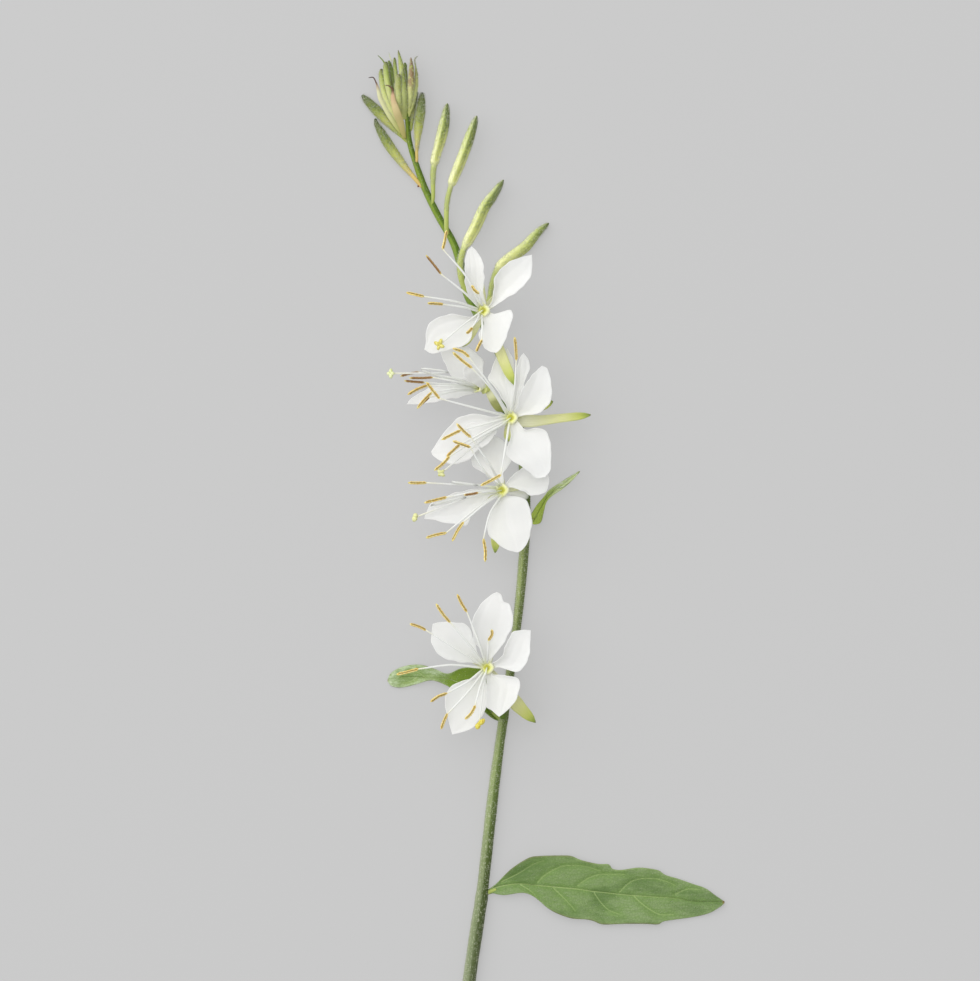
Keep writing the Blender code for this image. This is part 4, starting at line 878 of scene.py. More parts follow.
def throatShapes(centre, axis, feet, radius, sizes):
    # A shallow cup with a raised rim, and a small scale at the foot of each filament
    profile = [(0.02, -0.1), (0.3, -0.08), (0.52, -0.02), (0.66, 0.06), (0.8, 0.12), (1.0, 0.1),
               (1.18, 0.0), (1.3, -0.22), (1.2, -0.5), (0.6, -0.62), (0.02, -0.62)]
    side = unit(np.cross(axis, (0, 1, 0)))
    up = np.cross(side, axis)
    turns = np.linspace(0, 2 * math.pi, 40, endpoint=False)
    ring = side * np.cos(turns)[:, None] + up * np.sin(turns)[:, None]
    lobes = 1 + 0.06 * np.cos(turns * 4)
    points = np.array([centre + ring * (reach * radius * lobes)[:, None] + axis * (0.75 + rise)
                       for reach, rise in profile])
    faces = gridFaces(len(profile), 40, around=True).tolist()
    faces += [list(range(40))[::-1], list(range(len(profile) * 40 - 40, len(profile) * 40))]
    reach = np.repeat([reach / 1.3 for reach, _ in profile], 40)
    shapes = [(points.reshape(-1, 3), faces, {"reach": reach})]
    for foot in feet:
        out = unit(foot)
        low = centre + axis * 0.7 + foot
        line = smoothCurve([low, low + axis * 0.35 + out * 0.12, low + axis * 0.55 + out * 0.4], 8)
        radii = sizes["scaleRadius"] * np.array([0.9, 1.05, 1.1, 1.05, 0.95, 0.8, 0.6, 0.25])
        shapes.append(tube(line, radii * draw.uniform(0.85, 1.15), 8, {"reach": draw.uniform(0.7, 1.0)}))
    return shapes


def stamenFeet(flower, axis, radius, least):
    # The filaments stand on the throat's rim, each on the side that it leans to, a little apart
    ways = np.array([math.atan2(through[0][1], through[0][0]) for _, _, _, through in flower["stamens"]])
    order = np.argsort(ways)
    for _ in range(60):
        for one, two in zip(order, np.roll(order, -1)):
            gap = (ways[two] - ways[one] + least) % (2 * math.pi) - least
            push = max(least - gap, 0) / 2
            ways[one] -= push
            ways[two] += push
    side = unit(np.cross((0, 1, 0), axis))
    up = np.cross(axis, side)
    return [radius * (side * math.cos(way) + up * math.sin(way)) for way in ways]


def addFlower(letter, flower, sizes):
    centre = np.array(flower["centre"])
    axis = unit(np.array(flower["facing"], float))
    name = "flower" + letter
    node = "flower_" + letter.lower()

    petals = []
    for number, drawing in enumerate(flower["petals"]):
        grid, t, v = petalGrid(drawing, sizes["petalRise"] * flower["bowl"])
        petals.append(sheet(centre + grid, sizes["petalThickness"],
                            {"along": t, "across": v * 0.5 + 0.5 + number}))
    addPiece(name + "_petals", petals, whitePetal, [node + "_petals"])
    radius = sizes["throatRadius"] * flower.get("throat", 1.0)
    feet = stamenFeet(flower, axis, radius, sizes["footGap"])
    addPiece(name + "_throat", throatShapes(centre, axis, feet, radius, sizes), greenThroat)

    top = centre - axis * 0.4
    stalk = [centre + np.array(point) for point in flower["stalk"]]
    foot = stalk[0] + (stalk[0] - stalk[1]) * 0.3  # sunk into the stem
    line = smoothCurve([foot, *stalk, top - axis * 0.9, top], 46)
    t = np.linspace(0, 1, 46)
    radii = valueAlong((0.5, 0.7, 0.86, 0.78, 0.56, 0.5, 0.5, 0.58, 0.95), t)
    ridges = 1 + 0.07 * np.cos(np.linspace(0, 2 * math.pi, 24, endpoint=False) * 4)
    calyx = tube(line, radii[:, None] * ridges[None], 24, {"white": flower.get("tubePaleAndLit", 0.0)})
    addPiece(name + "_calyxTube", [calyx], greenTube, [node + "_calyx"])
    sepals = []
    for number, route in enumerate(flower["sepals"]):
        widths = flower["sepalWidths"].get(number, sizes["sepalWidths"])
        grid, t, v = routedGrid([centre + np.array(point) for point in route], widths, 0.34, 48, 17)
        grid[..., 2] += 0.07 * np.sin(t * 11 + v * 2 + number) * np.sin(math.pi * t)
        sepals.append(sheet(grid, sizes["sepalThickness"],
                            {"along": t, "across": v * 0.5 + 0.5, "rim": np.abs(v), "pale": flower["pale"],
                             "deep": flower.get("deep", 0.0)}))
    addPiece(name + "_sepals", sepals, greenSepal)

    filaments = []
    anthers = []
    t = np.linspace(0, 1, 26)
    for number, (far, near, lift, through) in enumerate(flower["stamens"]):
        line = filamentLine(centre, axis, feet[number], [*through, near], lift, 26)
        filaments.append(tube(line, valueAlong(sizes["filamentRadii"], t), 10))
        end = centre + np.array((*far, lift + 0.2))
        spent = 0.9 if number in flower["spent"] else draw.uniform(0, 0.25)
        anthers.append(antherShape(line[-1] - unit(end - line[-1]) * 0.15, end, sizes, spent))
    tip, lift, through = flower["style"]
    line = filamentLine(centre, axis, np.zeros(3), [*through, tip], lift, 26)
    filaments.append(tube(line, np.full(26, sizes["styleRadius"]), 10))
    addPiece(name + "_filaments", filaments, whiteFilament)
    addPiece(name + "_anthers", anthers, goldAnther, [node + "_stamens"])
    stigma = stigmaShape(line[-1], line[-2], *flower["stigma"], flower.get("stigmaWay"))
    addPiece(name + "_stigma", stigma, greenStigma)


for letter, flower in flowers.items():
    addFlower(letter, flower, flowerSizes)
print("flowers made")


# The stem

stem = {
    "route": [
        (-15.3, -91.5), (-13.5, -75.8), (-11.9, -64.8), (-11.1, -59.4), (-9.3, -43.2), (-7.9, -32.4),
        (-6.1, -20.2), (-4.9, -11.7), (-3.9, -1.8), (-3.3, 8.0), (-3.8, 18.0), (-4.7, 25.2),
        (-5.8, 30.6), (-7.5, 36.0), (-9.7, 40.5), (-12.0, 44.3), (-14.0, 48.6), (-15.0, 53.1),
        (-16.4, 57.2), (-18.95, 61.7), (-21.3, 66.5), (-23.1, 71.4), (-24.2, 75.2), (-24.6, 79.2),
        (-24.9, 81.0)],
    "radii": [
        1.17, 1.15, 1.17, 1.03, 0.99, 0.84, 0.8, 0.78, 0.86, 0.86, 0.86, 0.86,
        0.84, 0.84, 0.82, 0.8, 0.78, 0.74, 0.64, 0.62, 0.62, 0.53, 0.48, 0.42, 0.32],
    "lift": 2.0,
    "liftFrom": 66.5,
    "liftTo": 78.3,
    "rings": 520,
    "sides": 30,
    "hairs": 9000,
    "hairWidth": 0.03,
    "scars": [(-17.1, 59.05, 1.2), (-22.6, 67.25, 0.8), (-13.85, 47.85, 2.1)],
}


def stemLine(count):
    # The middle of the stem, which rests on the surface and rises towards its tip
    flat = smoothCurve(stem["route"], count)
    places = np.array(stem["route"])
    radii = np.interp(flat[:, 1], places[:, 1], stem["radii"])
    share = np.clip((flat[:, 1] - stem["liftFrom"]) / (stem["liftTo"] - stem["liftFrom"]), 0, None)
    return np.column_stack([flat, radii + stem["lift"] * share ** 2]), radii


def addStem():
    line, radii = stemLine(stem["rings"])
    t = np.linspace(0, 1, stem["rings"])
    turns = np.linspace(0, 2 * math.pi, stem["sides"], endpoint=False)
    ribs = 1 + 0.018 * np.cos(turns * 5 + 0.6)[None] + 0.012 * np.sin(t * 150)[:, None] * np.cos(turns * 2)[None]
    # a slight swelling where a leaf or a bloom leaves
    for place in (0.175, 0.36, 0.59, 0.63, 0.70, 0.75, 0.80):
        ribs = ribs + 0.09 * np.exp(-((t - place) / 0.006) ** 2)[:, None]
    marks = {"right": np.cos(turns)[None], "cut": np.clip(1 - t / 0.002, 0, 1)[:, None]}
    points, faces, marks = tube(line, radii[:, None] * ribs, stem["sides"], marks)
    points[:, 2] = np.maximum(points[:, 2], 0)
    addPiece("stem", [(points, faces, marks)], greenStem, ["stem"])

    scars = []
    for scar in stem["scars"]:
        place = np.array(scar)
        across = smoothCurve([place - (0.1, 0.2, 0), place, place + (0.05, 0.2, 0)], 9)
        scars.append(tube(across, 0.2 * np.sin(math.pi * np.linspace(0.06, 0.94, 9)), 10))
    addPiece("stem_scars", scars, brownScar)

    count = stem["hairs"]
    number = draw.integers(4, stem["rings"] - 4, count)
    turn = draw.uniform(0, 2 * math.pi, count)
    ahead = unit(np.gradient(line, axis=0))[number]
    side = unit(np.cross(ahead, (0, 0, 1)))
    up = np.cross(side, ahead)
    out = side * np.cos(turn)[:, None] + up * np.sin(turn)[:, None]
    roots = line[number] + out * radii[number][:, None] * 0.98
    downy = np.interp(number / stem["rings"], (0.55, 0.8), (1, 0.3))
    keep = (roots[:, 2] > 0.45) & (draw.random(count) < downy)
    lean = unit(out + ahead * draw.uniform(0.1, 1.4, (count, 1)) + draw.normal(size=(count, 3)) * 0.25)
    lengths = draw.uniform(0.18, 0.5, count)
    fuzz = hairs(roots[keep], lean[keep], lengths[keep], stem["hairWidth"])
    addPiece("stem_hairs", [fuzz], paleHair)


addStem()
print("stem made")


# The buds. A ripe one has a slim tube up to its neck, a share of its length, where the closed sepals
# begin, and they are pale there. A young one has no tube and narrows to a thin stalk. tube and widths
# are half widths at even steps, to the neck and from it to the tip.

# A ripe bud's right side is painted in shade, at full strength unless the bud gives a smaller share.
buds = {
    "bud_left_upper": {
        "route": [(-24.5, 75.2, 1.1), (-25.0, 75.6, 1.0), (-26.3, 77.0, 0.9), (-28.7, 79.4, 0.85),
                  (-31.7, 82.5, 0.82), (-32.75, 83.6, 0.8)],
        "widths": (0.28, 0.32, 0.5, 0.62, 0.75, 0.85, 0.9, 0.9, 0.8, 0.62, 0.2),
        "neck": 0, "ripe": 0.0},
    "bud_left_lower": {
        "route": [(-22.0, 67.1, 0.7), (-22.5, 67.7, 0.8), (-23.55, 69.0, 0.88), (-24.95, 70.6, 0.9),
                  (-26.0, 72.0, 0.92), (-27.55, 74.1, 0.95), (-28.9, 76.25, 0.9), (-30.0, 78.2, 0.82),
                  (-30.35, 79.4, 0.8)],
        "widths": (0.3, 0.37, 0.42, 0.54, 0.7, 0.83, 0.88, 0.86, 0.76, 0.54, 0.2),
        "neck": 0, "ripe": 0.0, "tan": 1.0},
    "bud_right_young": {
        "route": [(-24.4, 76.9, 1.9), (-24.05, 77.6, 1.85), (-23.98, 78.6, 1.8), (-23.7, 79.95, 1.7),
                  (-23.4, 81.8, 1.6), (-22.86, 84.2, 1.6)],
        "widths": (0.3, 0.4, 0.46, 0.5, 0.5, 0.48, 0.45, 0.42, 0.38, 0.3, 0.15),
        "neck": 0, "ripe": 0.4},
    "bud_right_first": {
        "route": [(-23.1, 71.3, 0.9), (-22.87, 72.1, 1.4), (-22.9, 73.2, 1.9), (-22.82, 74.8, 2.4),
                  (-22.7, 76.7, 2.7), (-22.45, 79.0, 2.85), (-22.15, 81.0, 2.9), (-21.98, 83.3, 2.9),
                  (-21.86, 84.05, 2.9)],
        "widths": (0.3, 0.27, 0.29, 0.4, 0.62, 0.8, 0.85, 0.87, 0.78, 0.65, 0.25),
        "neck": 0, "ripe": 0.0, "tan": 1.0},
    "bud_right_second": {
        "route": [(-20.2, 63.9, 0.9), (-19.95, 65.3, 1.05), (-19.98, 67.8, 1.35), (-19.9, 70.1, 1.55),
                  (-19.5, 72.4, 1.8), (-18.63, 75.5, 2.05), (-17.9, 78.65, 2.25), (-17.4, 82.1, 2.4)],
        "tube": (0.32, 0.36, 0.42, 0.5, 0.52),
        "widths": (0.79, 0.82, 0.85, 0.9, 0.97, 0.98, 0.97, 0.9, 0.75, 0.58, 0.2),
        "neck": 0.4, "ripe": 1.0},
    "bud_right_third": {
        "route": [(-17.4, 58.7, 1.2), (-17.54, 59.6, 1.9), (-17.55, 62.7, 2.3), (-17.4, 64.6, 2.45),
                  (-17.05, 66.2, 2.6), (-16.4, 68.2, 2.8), (-14.9, 71.9, 3.0), (-13.4, 76.0, 3.2),
                  (-12.1, 79.85, 3.4)],
        "tube": (0.4, 0.43, 0.44, 0.45, 0.4),
        "widths": (0.78, 0.85, 0.92, 0.96, 0.95, 0.94, 0.95, 0.9, 0.78, 0.62, 0.2),
        "neck": 0.41, "ripe": 1.0},
    "bud_right_fourth": {
        "route": [(-13.7, 47.2, 1.2), (-14.0, 48.2, 2.2), (-14.75, 50.0, 2.6), (-15.05, 52.0, 2.8),
                  (-15.05, 53.7, 2.9), (-14.45, 55.9, 2.9), (-13.5, 57.7, 2.85), (-12.3, 59.9, 2.75),
                  (-10.7, 63.4, 2.5), (-8.97, 65.8, 2.35), (-7.3, 68.35, 2.2)],
        "tube": (0.25, 0.45, 0.58, 0.55, 0.54),
        "widths": (0.75, 0.95, 0.98, 1.0, 1.03, 1.0, 0.96, 0.92, 0.78, 0.6, 0.2),
        "neck": 0.42, "ripe": 1.0, "striped": 0.9},
    "bud_right_fifth": {
        "route": [(-11.6, 43.4, 0.9), (-10.3, 45.2, 0.95), (-9.75, 47.3, 0.95), (-9.2, 50.2, 1.0),
                  (-7.9, 52.9, 1.1), (-3.7, 56.07, 1.1), (-2.34, 57.51, 1.1), (-1.07, 58.95, 1.05),
                  (0.85, 60.6, 1.0)],
        "tube": (0.4, 0.45, 0.46, 0.48, 0.5),
        "widths": (0.8, 0.9, 0.95, 0.98, 1.0, 1.0, 0.93, 0.85, 0.7, 0.52, 0.2),
        "neck": 0.44, "ripe": 1.0, "striped": 0.5},
}


def sideMarks(line, sides):
    # How far each point of a tube looks to the left and to the right, seen from above
    ahead = unit(np.gradient(line, axis=0))
    side = unit(np.cross(ahead, (0, 0, 1)))
    turns = np.linspace(0, 2 * math.pi, sides, endpoint=False)
    look = side[:, :1] * np.cos(turns)[None]
    return {"left": np.clip(-look, 0, 1), "right": np.clip(look, 0, 1)}


def hairsOnTube(line, radii, count, longest):
    number = draw.integers(len(line) // 5, len(line) - 2, count)
    turn = draw.uniform(0, 2 * math.pi, count)
    ahead = unit(np.gradient(line, axis=0))[number]
    side = unit(np.cross(ahead, (0, 0, 1)))
    up = np.cross(side, ahead)
    out = side * np.cos(turn)[:, None] + up * np.sin(turn)[:, None]
    roots = line[number] + out * radii[number][:, None] * 0.97
    lean = unit(out + ahead * draw.uniform(0.2, 1.6, (count, 1)) + draw.normal(size=(count, 3)) * 0.2)
    keep = roots[:, 2] > 0.35
    return hairs(roots[keep], lean[keep], draw.uniform(0.15, longest, count)[keep], 0.034)


def addBud(name, bud):
    rings, sides = 110, 28
    line = smoothCurve(bud["route"], rings)
    t = np.linspace(0, 1, rings)
    neck = bud["neck"]
    share = np.clip((t - neck) / (1 - neck), 0, 1)
    ease = 1 / (1 + np.exp(-(t - neck) / 0.006))
    radii = valueAlong(bud["widths"], share) * np.clip((1 - t) * 60 + 0.3, 0, 1) ** 0.5
    swell = t
    if neck:
        radii = valueAlong(bud["tube"], t / neck) * (1 - ease) + radii * ease
        swell = np.where(t < neck, 0.4 * t / neck, 0.4 + 0.6 * share)
    turns = np.linspace(0, 2 * math.pi, sides, endpoint=False)
    seams = 0.06 * np.exp(-((np.mod(turns, math.pi / 2) - math.pi / 4) / 0.16) ** 2)
    rough = 1 + 0.012 * np.sin(t * 90 + 1)[:, None] * np.sin(turns * 3)[None]
    shape = radii[:, None] * (1 - seams[None] * ease[:, None]) * rough
    marks = {**sideMarks(line, sides), "swell": swell[:, None], "ripe": bud["ripe"],
             "tan": bud.get("tan", 0.0), "striped": bud.get("striped", 1.0)}
    points, faces, marks = tube(line, shape, sides, marks)
    points[:, 2] = np.maximum(points[:, 2], 0)
    addPiece(name, [(points, faces, marks)], greenBud, [name])
    return hairsOnTube(line, radii, int(1700 * max(bud["widths"])), 0.45)


addPiece("buds_hairs", [addBud(name, bud) for name, bud in buds.items()], paleHair)
print("buds made")


# The young buds and bracts at the tip. A young bud is its route from the stem, the height that it
# rises to, its half widths along the way, and how rosy and how dark green it is.

tip = {
    "rootHeight": 2.7,
    "young": [
        ([(-24.93, 79.2), (-24.98, 81.36), (-25.05, 84.6), (-25.1, 87.84), (-25.0, 89.4)],
         2.8, (0.4, 0.5, 0.5, 0.5, 0.35), 0.0, 0.8),
        ([(-25.38, 79.56), (-26.46, 83.16), (-27.18, 86.4), (-27.63, 88.56), (-27.95, 89.77)],
         3.0, (0.4, 0.45, 0.45, 0.42, 0.3), 0.0, 1.0),
        ([(-25.2, 79.56), (-25.92, 82.8), (-26.55, 86.4), (-26.82, 88.92), (-26.89, 90.31)],
         3.2, (0.35, 0.35, 0.35, 0.32, 0.25), 0.0, 0.1),
        ([(-25.74, 78.48), (-27.36, 81.0), (-28.62, 83.7), (-29.16, 86.4), (-29.27, 88.29)],
         3.5, (0.4, 0.5, 0.5, 0.48, 0.38), 0.1, 0.1),
        ([(-25.56, 79.02), (-26.82, 81.36), (-27.81, 84.24), (-28.35, 87.3), (-28.44, 89.55)],
         4.2, (0.4, 0.5, 0.52, 0.5, 0.4), 0.0, 0.2),
        ([(-24.52, 79.74), (-23.85, 81.9), (-23.22, 84.6), (-22.95, 87.12), (-23.13, 88.92),
          (-23.22, 90.04), (-22.61, 90.63)],
         3.7, (0.4, 0.5, 0.5, 0.45, 0.25, 0.08, 0.04), 0.3, 0.1),
        ([(-24.91, 79.56), (-25.29, 83.16), (-25.47, 86.76), (-25.83, 89.64), (-26.23, 91.62)],
         4.7, (0.4, 0.6, 0.58, 0.4, 0.12), 0.15, 0.1),
        ([(-24.66, 79.74), (-24.21, 82.8), (-23.94, 85.32), (-23.85, 87.48), (-23.85, 88.92),
          (-23.94, 90.31)],
         5.0, (0.4, 0.52, 0.55, 0.55, 0.4, 0.12), 1.0, 0.0),
        ([(-25.02, 79.2), (-25.2, 81.4), (-25.35, 84.0), (-25.4, 86.5), (-25.3, 88.3)],
         5.2, (0.5, 0.68, 0.68, 0.5, 0.2), 0.1, 0.5),
        ([(-25.29, 79.56), (-26.01, 81.9), (-26.28, 84.24), (-26.19, 86.04), (-26.1, 87.3)],
         5.8, (0.4, 0.55, 0.58, 0.55, 0.4), 0.25, 0.35),
    ],
    "girth": 1.13,
    "spikes": [
        ([(-28.44, 88.56, 4.2), (-28.8, 89.51, 4.3), (-29.34, 90.18, 4.4), (-29.88, 90.68, 4.5)], 0.17, 1.0),
        ([(-27.45, 89.64, 3.4), (-27.72, 90.54, 3.5), (-27.9, 91.26, 3.6)], 0.06, 0.0),
    ],
    "bracts": [
        ([(-25.04, 75.78, 2.3), (-25.75, 78.43, 4.4), (-26.45, 80.41, 6.0), (-27.1, 82.62, 6.5),
          (-27.2, 84.37, 6.6), (-27.41, 84.78, 6.6), (-28.08, 85.27, 6.6), (-28.55, 85.15, 6.6)],
         (0.3, 0.45, 0.6, 0.67, 0.6, 0.4, 0.12, 0.06), 0.9, 0.0),
        ([(-25.56, 76.68, 2.1), (-27.18, 79.2, 2.3), (-28.44, 81.36, 2.3), (-29.43, 83.16, 2.3),
          (-29.93, 85.01, 2.4), (-30.19, 85.81, 2.5), (-30.71, 86.74, 2.6), (-31.57, 86.67, 2.7)],
         (0.35, 0.5, 0.6, 0.58, 0.48, 0.3, 0.07, 0.05), 1.0, 1.0),
    ],
}


def addYoungBud(route, height, widths, blush, deep):
    flat = smoothCurve(route, 56)
    t = np.linspace(0, 1, 56)
    rise = np.clip(t / 0.5, 0, 1)
    lift = tip["rootHeight"] + (height - tip["rootHeight"]) * rise * rise * (3 - 2 * rise)
    line = np.column_stack([flat, lift])
    radii = tip["girth"] * valueAlong(widths, t) * np.clip((1 - t) * 14 + 0.25, 0, 1) ** 0.6
    turns = np.linspace(0, 2 * math.pi, 18, endpoint=False)
    seams = 1 - 0.08 * np.exp(-((np.mod(turns, math.pi / 2) - math.pi / 4) / 0.2) ** 2)
    marks = {**sideMarks(line, 18), "blush": blush, "deep": deep}
    return tube(line, radii[:, None] * seams[None], 18, marks), hairsOnTube(line, radii, 420, 0.36)


def addTip():
    shapes = []
    fuzz = []
    for young in tip["young"]:
        shape, fine = addYoungBud(*young)
        shapes.append(shape)
        fuzz.append(fine)
    for route, radius, deep in tip["spikes"]:
        line = smoothCurve(route, 20)
        shapes.append(tube(line, radius * valueAlong((1.0, 0.7, 0.3), np.linspace(0, 1, 20)), 10, {"deep": deep}))
    addPiece("tip_buds", shapes, greenYoung, ["tip_buds"])
    addPiece("tip_buds_hairs", fuzz, paleHair)
    bracts = []
    for route, widths, bladeShare, cream in tip["bracts"]:
        grid, t, v = routedGrid(route, widths, -0.35, 60, 15)
        marks = {"along": t * bladeShare, "across": v * 0.5 + 0.5, "cream": cream}
        bracts.append(sheet(grid, 0.2, marks))
    addPiece("tip_bracts", bracts, tanBract, ["tip_bracts"])


addTip()
print("tip made")


# The leaves

longLeaf = {
    "drawing": drawn(
        [(-8.9, -58.5), (-6.0, -55.6), (-2.9, -53.6), (-0.9, -53.2), (2.9, -53.1), (4.9, -53.2), (6.6, -53.9),
         (9.5, -54.6), (11.6, -54.7), (12.3, -55.5), (13.8, -55.7), (16.7, -55.3), (18.6, -55.4),
         (20.6, -55.8), (21.8, -56.6), (23.8, -57.2), (26.7, -58.2), (29.0, -59.0), (30.7, -60.2)],
        (32.6, -61.5),
        [(-9.2, -59.9), (-8.3, -60.1), (-6.9, -60.2), (-4.0, -59.8), (-2.3, -60.2), (-0.9, -61.2),
         (0.6, -62.5), (2.3, -63.5), (4.9, -64.4), (7.5, -64.6), (8.9, -64.9), (10.6, -65.5), (14.3, -65.4),
         (18.1, -65.4), (20.5, -65.5), (21.8, -64.9), (26.7, -64.2), (29.6, -63.5), (31.6, -62.4)],
        (1.0, 1.3, 0.9, 0.5, 0.8, 0.6, 0.9), cup=0.7, root=(-10.4, -59.8),
        rib=[(-8.4, -58.9), (-4.9, -58.2), (-1.2, -58.5), (5.5, -59.1), (9.2, -59.6), (16.1, -60.3),
             (23.8, -60.8), (26.4, -61.3)]),
    "rib": [(-10.4, -59.8), (-8.9, -58.9), (-4.9, -58.2), (-1.2, -58.5), (5.5, -59.1), (9.2, -59.6),
            (16.1, -60.3), (23.8, -60.8), (26.4, -61.3), (32.6, -61.5)],
    "petiole": [(-11.0, -59.9, 0.9), (-10.0, -59.7, 0.85), (-8.6, -59.2, 0.8)],
    "veins": [
        [(-7.7, -57.8), (-4.6, -56.3), (-2.0, -54.7), (0.0, -54.0)],
        [(-1.2, -58.0), (0.3, -56.5), (3.4, -55.0), (7.2, -55.0), (10.1, -55.9)],
        [(6.0, -58.6), (7.7, -57.3), (10.1, -56.5), (14.6, -56.5)],
        [(13.6, -59.7), (15.2, -58.1), (17.2, -57.3), (20.1, -57.3), (22.3, -57.9), (23.6, -58.5)],
        [(23.6, -60.1), (25.6, -59.2), (27.9, -59.2)],
        [(1.7, -59.0), (3.4, -60.6), (4.9, -62.2), (5.6, -63.1)],
        [(9.0, -59.8), (10.1, -61.4), (11.6, -62.9), (13.5, -63.7)],
        [(16.2, -60.5), (18.1, -62.2), (20.7, -63.7), (23.2, -63.7)],
        [(-4.2, -58.4), (-2.6, -59.4), (-1.4, -60.6)],
    ],
    "rows": 250, "cols": 75, "thickness": 0.28, "hairs": 1500, "veinStrength": 0.8,
}
middleLeaf = {
    "drawing": drawn(
        [(-9.2, -26.6), (-9.9, -22.5), (-11.3, -19.7), (-13.0, -19.3), (-15.0, -19.5), (-17.4, -20.4), (-19.6, -19.6),
         (-22.3, -18.8), (-25.2, -19.1), (-27.4, -20.2)],
        (-28.2, -21.7),
        [(-9.6, -28.2), (-12.2, -26.0), (-15.2, -24.0), (-17.8, -22.4), (-20.2, -21.6), (-22.6, -22.2),
         (-25.4, -22.9), (-27.3, -22.7)],
        (1.2, 2.0, 1.8, 1.2, 0.7, 0.6), cup=0.6, root=(-7.9, -28.6)),
    "petiole": [(-7.3, -28.9, 0.8), (-8.1, -28.3, 1.0), (-9.3, -27.4, 1.1)],
    "rib": [(-7.9, -28.6), (-9.4, -27.4), (-13.0, -23.4), (-16.2, -21.7), (-18.0, -21.3), (-21.4, -21.1),
            (-25.6, -21.0)],
    "veins": [
        [(-21.4, -21.1), (-22.6, -20.2), (-24.2, -19.8)],
        [(-22.8, -21.1), (-24.2, -21.9), (-25.6, -22.1)],
    ],
    "rows": 150, "cols": 41, "thickness": 0.28, "hairs": 700, "veinStrength": 0.6,
}
smallLeaf = {
    "drawing": drawn(
        [(-2.1, 8.6), (-1.2, 10.0), (0.2, 11.6), (1.0, 12.6), (3.1, 14.1), (5.6, 15.6)],
        (6.5, 16.0),
        [(-1.7, 6.4), (-0.6, 6.8), (-0.1, 8.6), (0.3, 10.3), (1.3, 11.5), (3.3, 12.8), (5.2, 14.5)],
        (1.0, 1.6, 2.6, 3.2, 3.4), cup=0.5, root=(-2.6, 6.9)),
    "petiole": [(-3.2, 6.4, 0.9), (-2.6, 6.8, 1.0), (-1.9, 7.5, 1.1)],
    "rib": [(-2.6, 6.9), (-1.8, 7.2), (-0.6, 9.4), (0.9, 11.6), (3.4, 13.6), (6.5, 16.0)],
    "veins": [
        [(-0.4, 9.6), (0.2, 10.8), (0.4, 11.4)],
        [(0.9, 11.6), (1.9, 12.9), (2.6, 13.4)],
        [(2.4, 12.9), (3.3, 13.0), (4.3, 13.7)],
    ],
    "rows": 110, "cols": 31, "thickness": 0.25, "hairs": 260, "veinStrength": 1.0,
}


def distanceTo(flat, line):
    # The distance from each point of a grid to a line in plan, and how far along it the nearest place is
    best = np.full(flat.shape[:2], 1e9)
    where = np.zeros(flat.shape[:2])
    for number, (start, end) in enumerate(zip(line, line[1:])):
        span = end - start
        part = np.clip(((flat - start) @ span) / max(span @ span, 1e-9), 0, 1)
        away = np.linalg.norm(flat - start - part[..., None] * span, axis=-1)
        closer = away < best
        best = np.where(closer, away, best)
        where = np.where(closer, (number + part) / (len(line) - 1), where)
    return best, where


def addLeaf(name, leaf, material, node, letDown, bloom):
    grid, t, v = drawnGrid(leaf["drawing"], leaf["rows"], leaf["cols"], pointed=True)
    flat = grid[..., :2]
    away, where = distanceTo(flat, smoothCurve(leaf["rib"], 80))
    width = 0.13 - 0.06 * where
    vein = np.exp(-(away / width) ** 2)
    groove = 0.16 * np.exp(-(away / (width * 1.8)) ** 2)
    nearest = away
    for points in leaf["veins"]:
        away, where = distanceTo(flat, smoothCurve(points, 24))
        fade = leaf["veinStrength"] - 0.4 * where
        vein = np.maximum(vein, fade * np.exp(-(away / 0.07) ** 2))
        groove = np.maximum(groove, 0.09 * fade * np.exp(-(away / 0.4) ** 2))
        nearest = np.minimum(nearest, away)
    inside = np.sin(math.pi * np.clip(t, 0, 1)) * (1 - np.abs(v) ** 4)
    quilt = 1 - np.exp(-(nearest / 0.8) ** 2)  # the blade swells between its veins
    grid[..., 2] += inside * 0.10 * np.sin(flat[..., 0] * 1.15 + flat[..., 1] * 0.8)
    grid[..., 2] += inside * 0.14 * quilt
    grid[..., 2] -= groove * np.minimum(t * 12, 1)
    # The bloom is painted stronger where the blade swells between veins and weaker along them: partly the hairs, and
    # partly painted sheen on the raised blade and painted shade along the veins.
    marks = {"along": t, "across": v * 0.5 + 0.5, "vein": vein, "rim": np.abs(v),
             "bloom": bloom(t, v) * (0.35 + 0.65 * quilt)}
    points, faces, marks = sheet(grid, leaf["thickness"], marks)
    if letDown:
        points[:, 2] -= points[:, 2].min()
    addPiece(name, [(points, faces, marks)], material, [node])
    petiole = tube(smoothCurve(leaf["petiole"], 16), np.linspace(0.52, 0.3, 16), 14, {"rim": 0.0})
    addPiece(name + "_petiole", [petiole], petioleGreen)

    upper = points[:len(points) // 2].reshape(grid.shape)
    count = leaf["hairs"]
    rows = draw.integers(3, leaf["rows"] - 3, count)
    cols = np.where(draw.random(count) < 0.35, draw.choice([0, leaf["cols"] - 1], count),
                    draw.integers(0, leaf["cols"], count))
    roots = upper[rows, cols]
    heading = unit(upper[rows + 2, cols] - upper[rows - 2, cols])
    edge = np.where(cols == 0, -1.0, np.where(cols == leaf["cols"] - 1, 1.0, 0.0))
    out = unit(upper[rows, -1] - upper[rows, 0]) * edge[:, None]
    rise = np.array((0, 0, 1.0)) * np.where(edge == 0, 0.8, 0.15)[:, None]
    lean = unit(heading * 0.6 + out + rise + draw.normal(size=(count, 3)) * 0.25)
    addPiece(name + "_hairs", [hairs(roots, lean, draw.uniform(0.12, 0.34, count), 0.018)], paleHair)


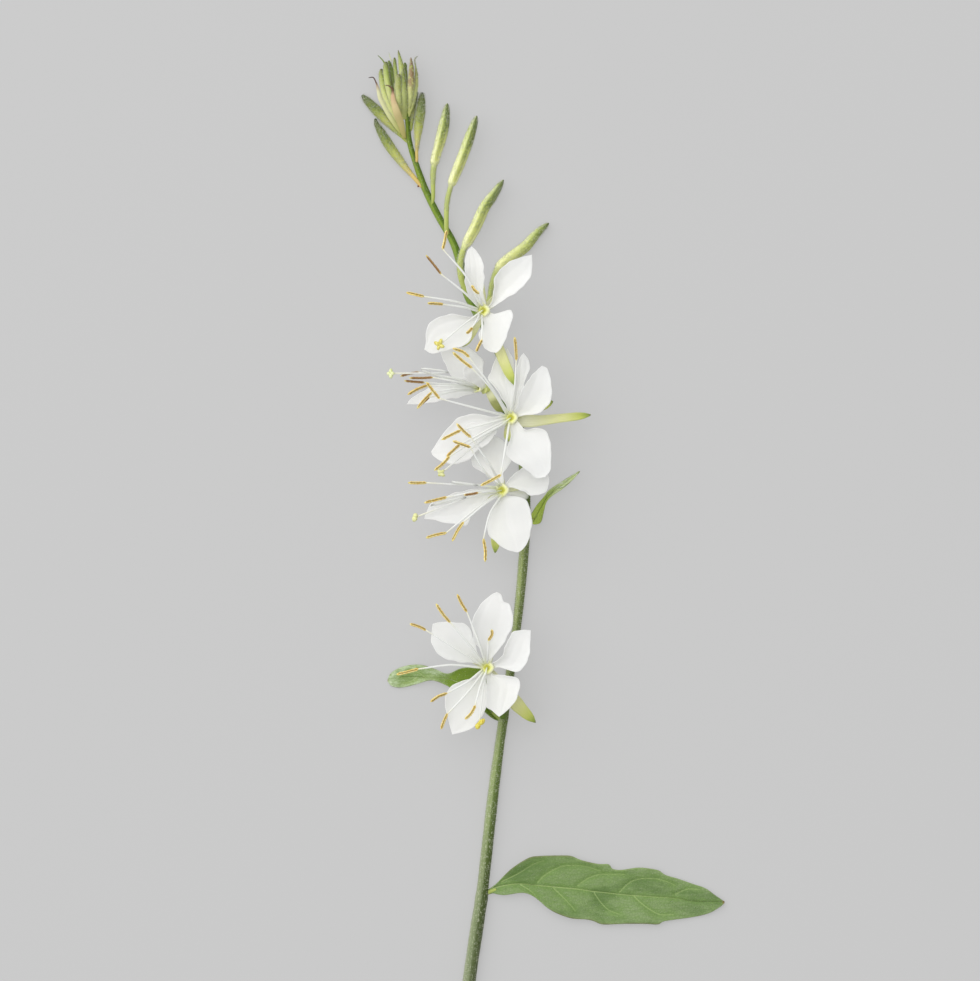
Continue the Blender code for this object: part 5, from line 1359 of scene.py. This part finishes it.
addLeaf("leaf_long", longLeaf, longLeafGreen, "leaf_long", True,
        lambda t, v: 0.55 + 0.25 * np.clip(t * 1.4 - 0.4, 0, 1) + 0 * v)
addLeaf("leaf_middle", middleLeaf, middleLeafGreen, "leaf_middle", True,
        lambda t, v: np.clip((t - 0.5) * 9, 0, 1) * 1.3 + 0 * v)
addLeaf("leaf_small", smallLeaf, smallLeafGreen, "leaf_small", False,
        lambda t, v: np.clip((t - 0.4) * 4, 0, 1) * 1.5 + 0 * v)
print("leaves made")


# The surface, the light and the camera. The surface gives some light of its own, as a light table
# does, so the spray throws hardly any shadow on it.

studio = {
    "imageMillimetres": 176.4,
    "imageCentre": (-9.72, 12.51),
    "cameraHeight": 5.0,
    "floorGrey": (0.16, 0.16, 0.16),
    "floorGlow": 0.39,
    "worldStrength": 0.56,
    "keyPlace": (-0.55, 0.5, 1.1),
    "keySize": 2.0,
    "keyPower": 25.0,
}


def addStudio():
    scene = bpy.context.scene
    floorPaint = Paint("floorGrey", roughness=0.9, Specular_IOR_Level=0.1,
                       Emission_Color=(1, 1, 1, 1), Emission_Strength=studio["floorGlow"])
    floorPaint.finish(studio["floorGrey"])
    half = 2.5
    mesh = bpy.data.meshes.new("floor")
    mesh.from_pydata([(-half, -half, 0), (half, -half, 0), (half, half, 0), (-half, half, 0)], [], [(0, 1, 2, 3)])
    mesh.materials.append(floorPaint.material)
    floor = bpy.data.objects.new("floor", mesh)
    scene.collection.objects.link(floor)

    world = bpy.data.worlds.new("studio")
    world.use_nodes = True
    background = world.node_tree.nodes["Background"]
    background.inputs["Color"].default_value = (1.0, 1.0, 1.0, 1)
    background.inputs["Strength"].default_value = studio["worldStrength"]
    scene.world = world

    key = bpy.data.objects.new("key", bpy.data.lights.new("key", "AREA"))
    key.data.size = studio["keySize"]
    key.data.energy = studio["keyPower"]
    key.location = studio["keyPlace"]
    away = -np.array(studio["keyPlace"])
    key.rotation_euler = (math.acos(-away[2] / np.linalg.norm(away)), 0,
                          math.atan2(away[1], away[0]) - math.pi / 2)
    scene.collection.objects.link(key)

    camera = bpy.data.objects.new("camera", bpy.data.cameras.new("camera"))
    camera.data.sensor_width = 36.0
    camera.data.lens = 36.0 * studio["cameraHeight"] / (studio["imageMillimetres"] * mm)
    camera.data.clip_end = 20.0
    x, y = studio["imageCentre"]
    camera.location = (x * mm, y * mm, studio["cameraHeight"])
    scene.collection.objects.link(camera)
    scene.camera = camera
    scene.view_settings.view_transform = "Standard"


addStudio()
print("studio made")
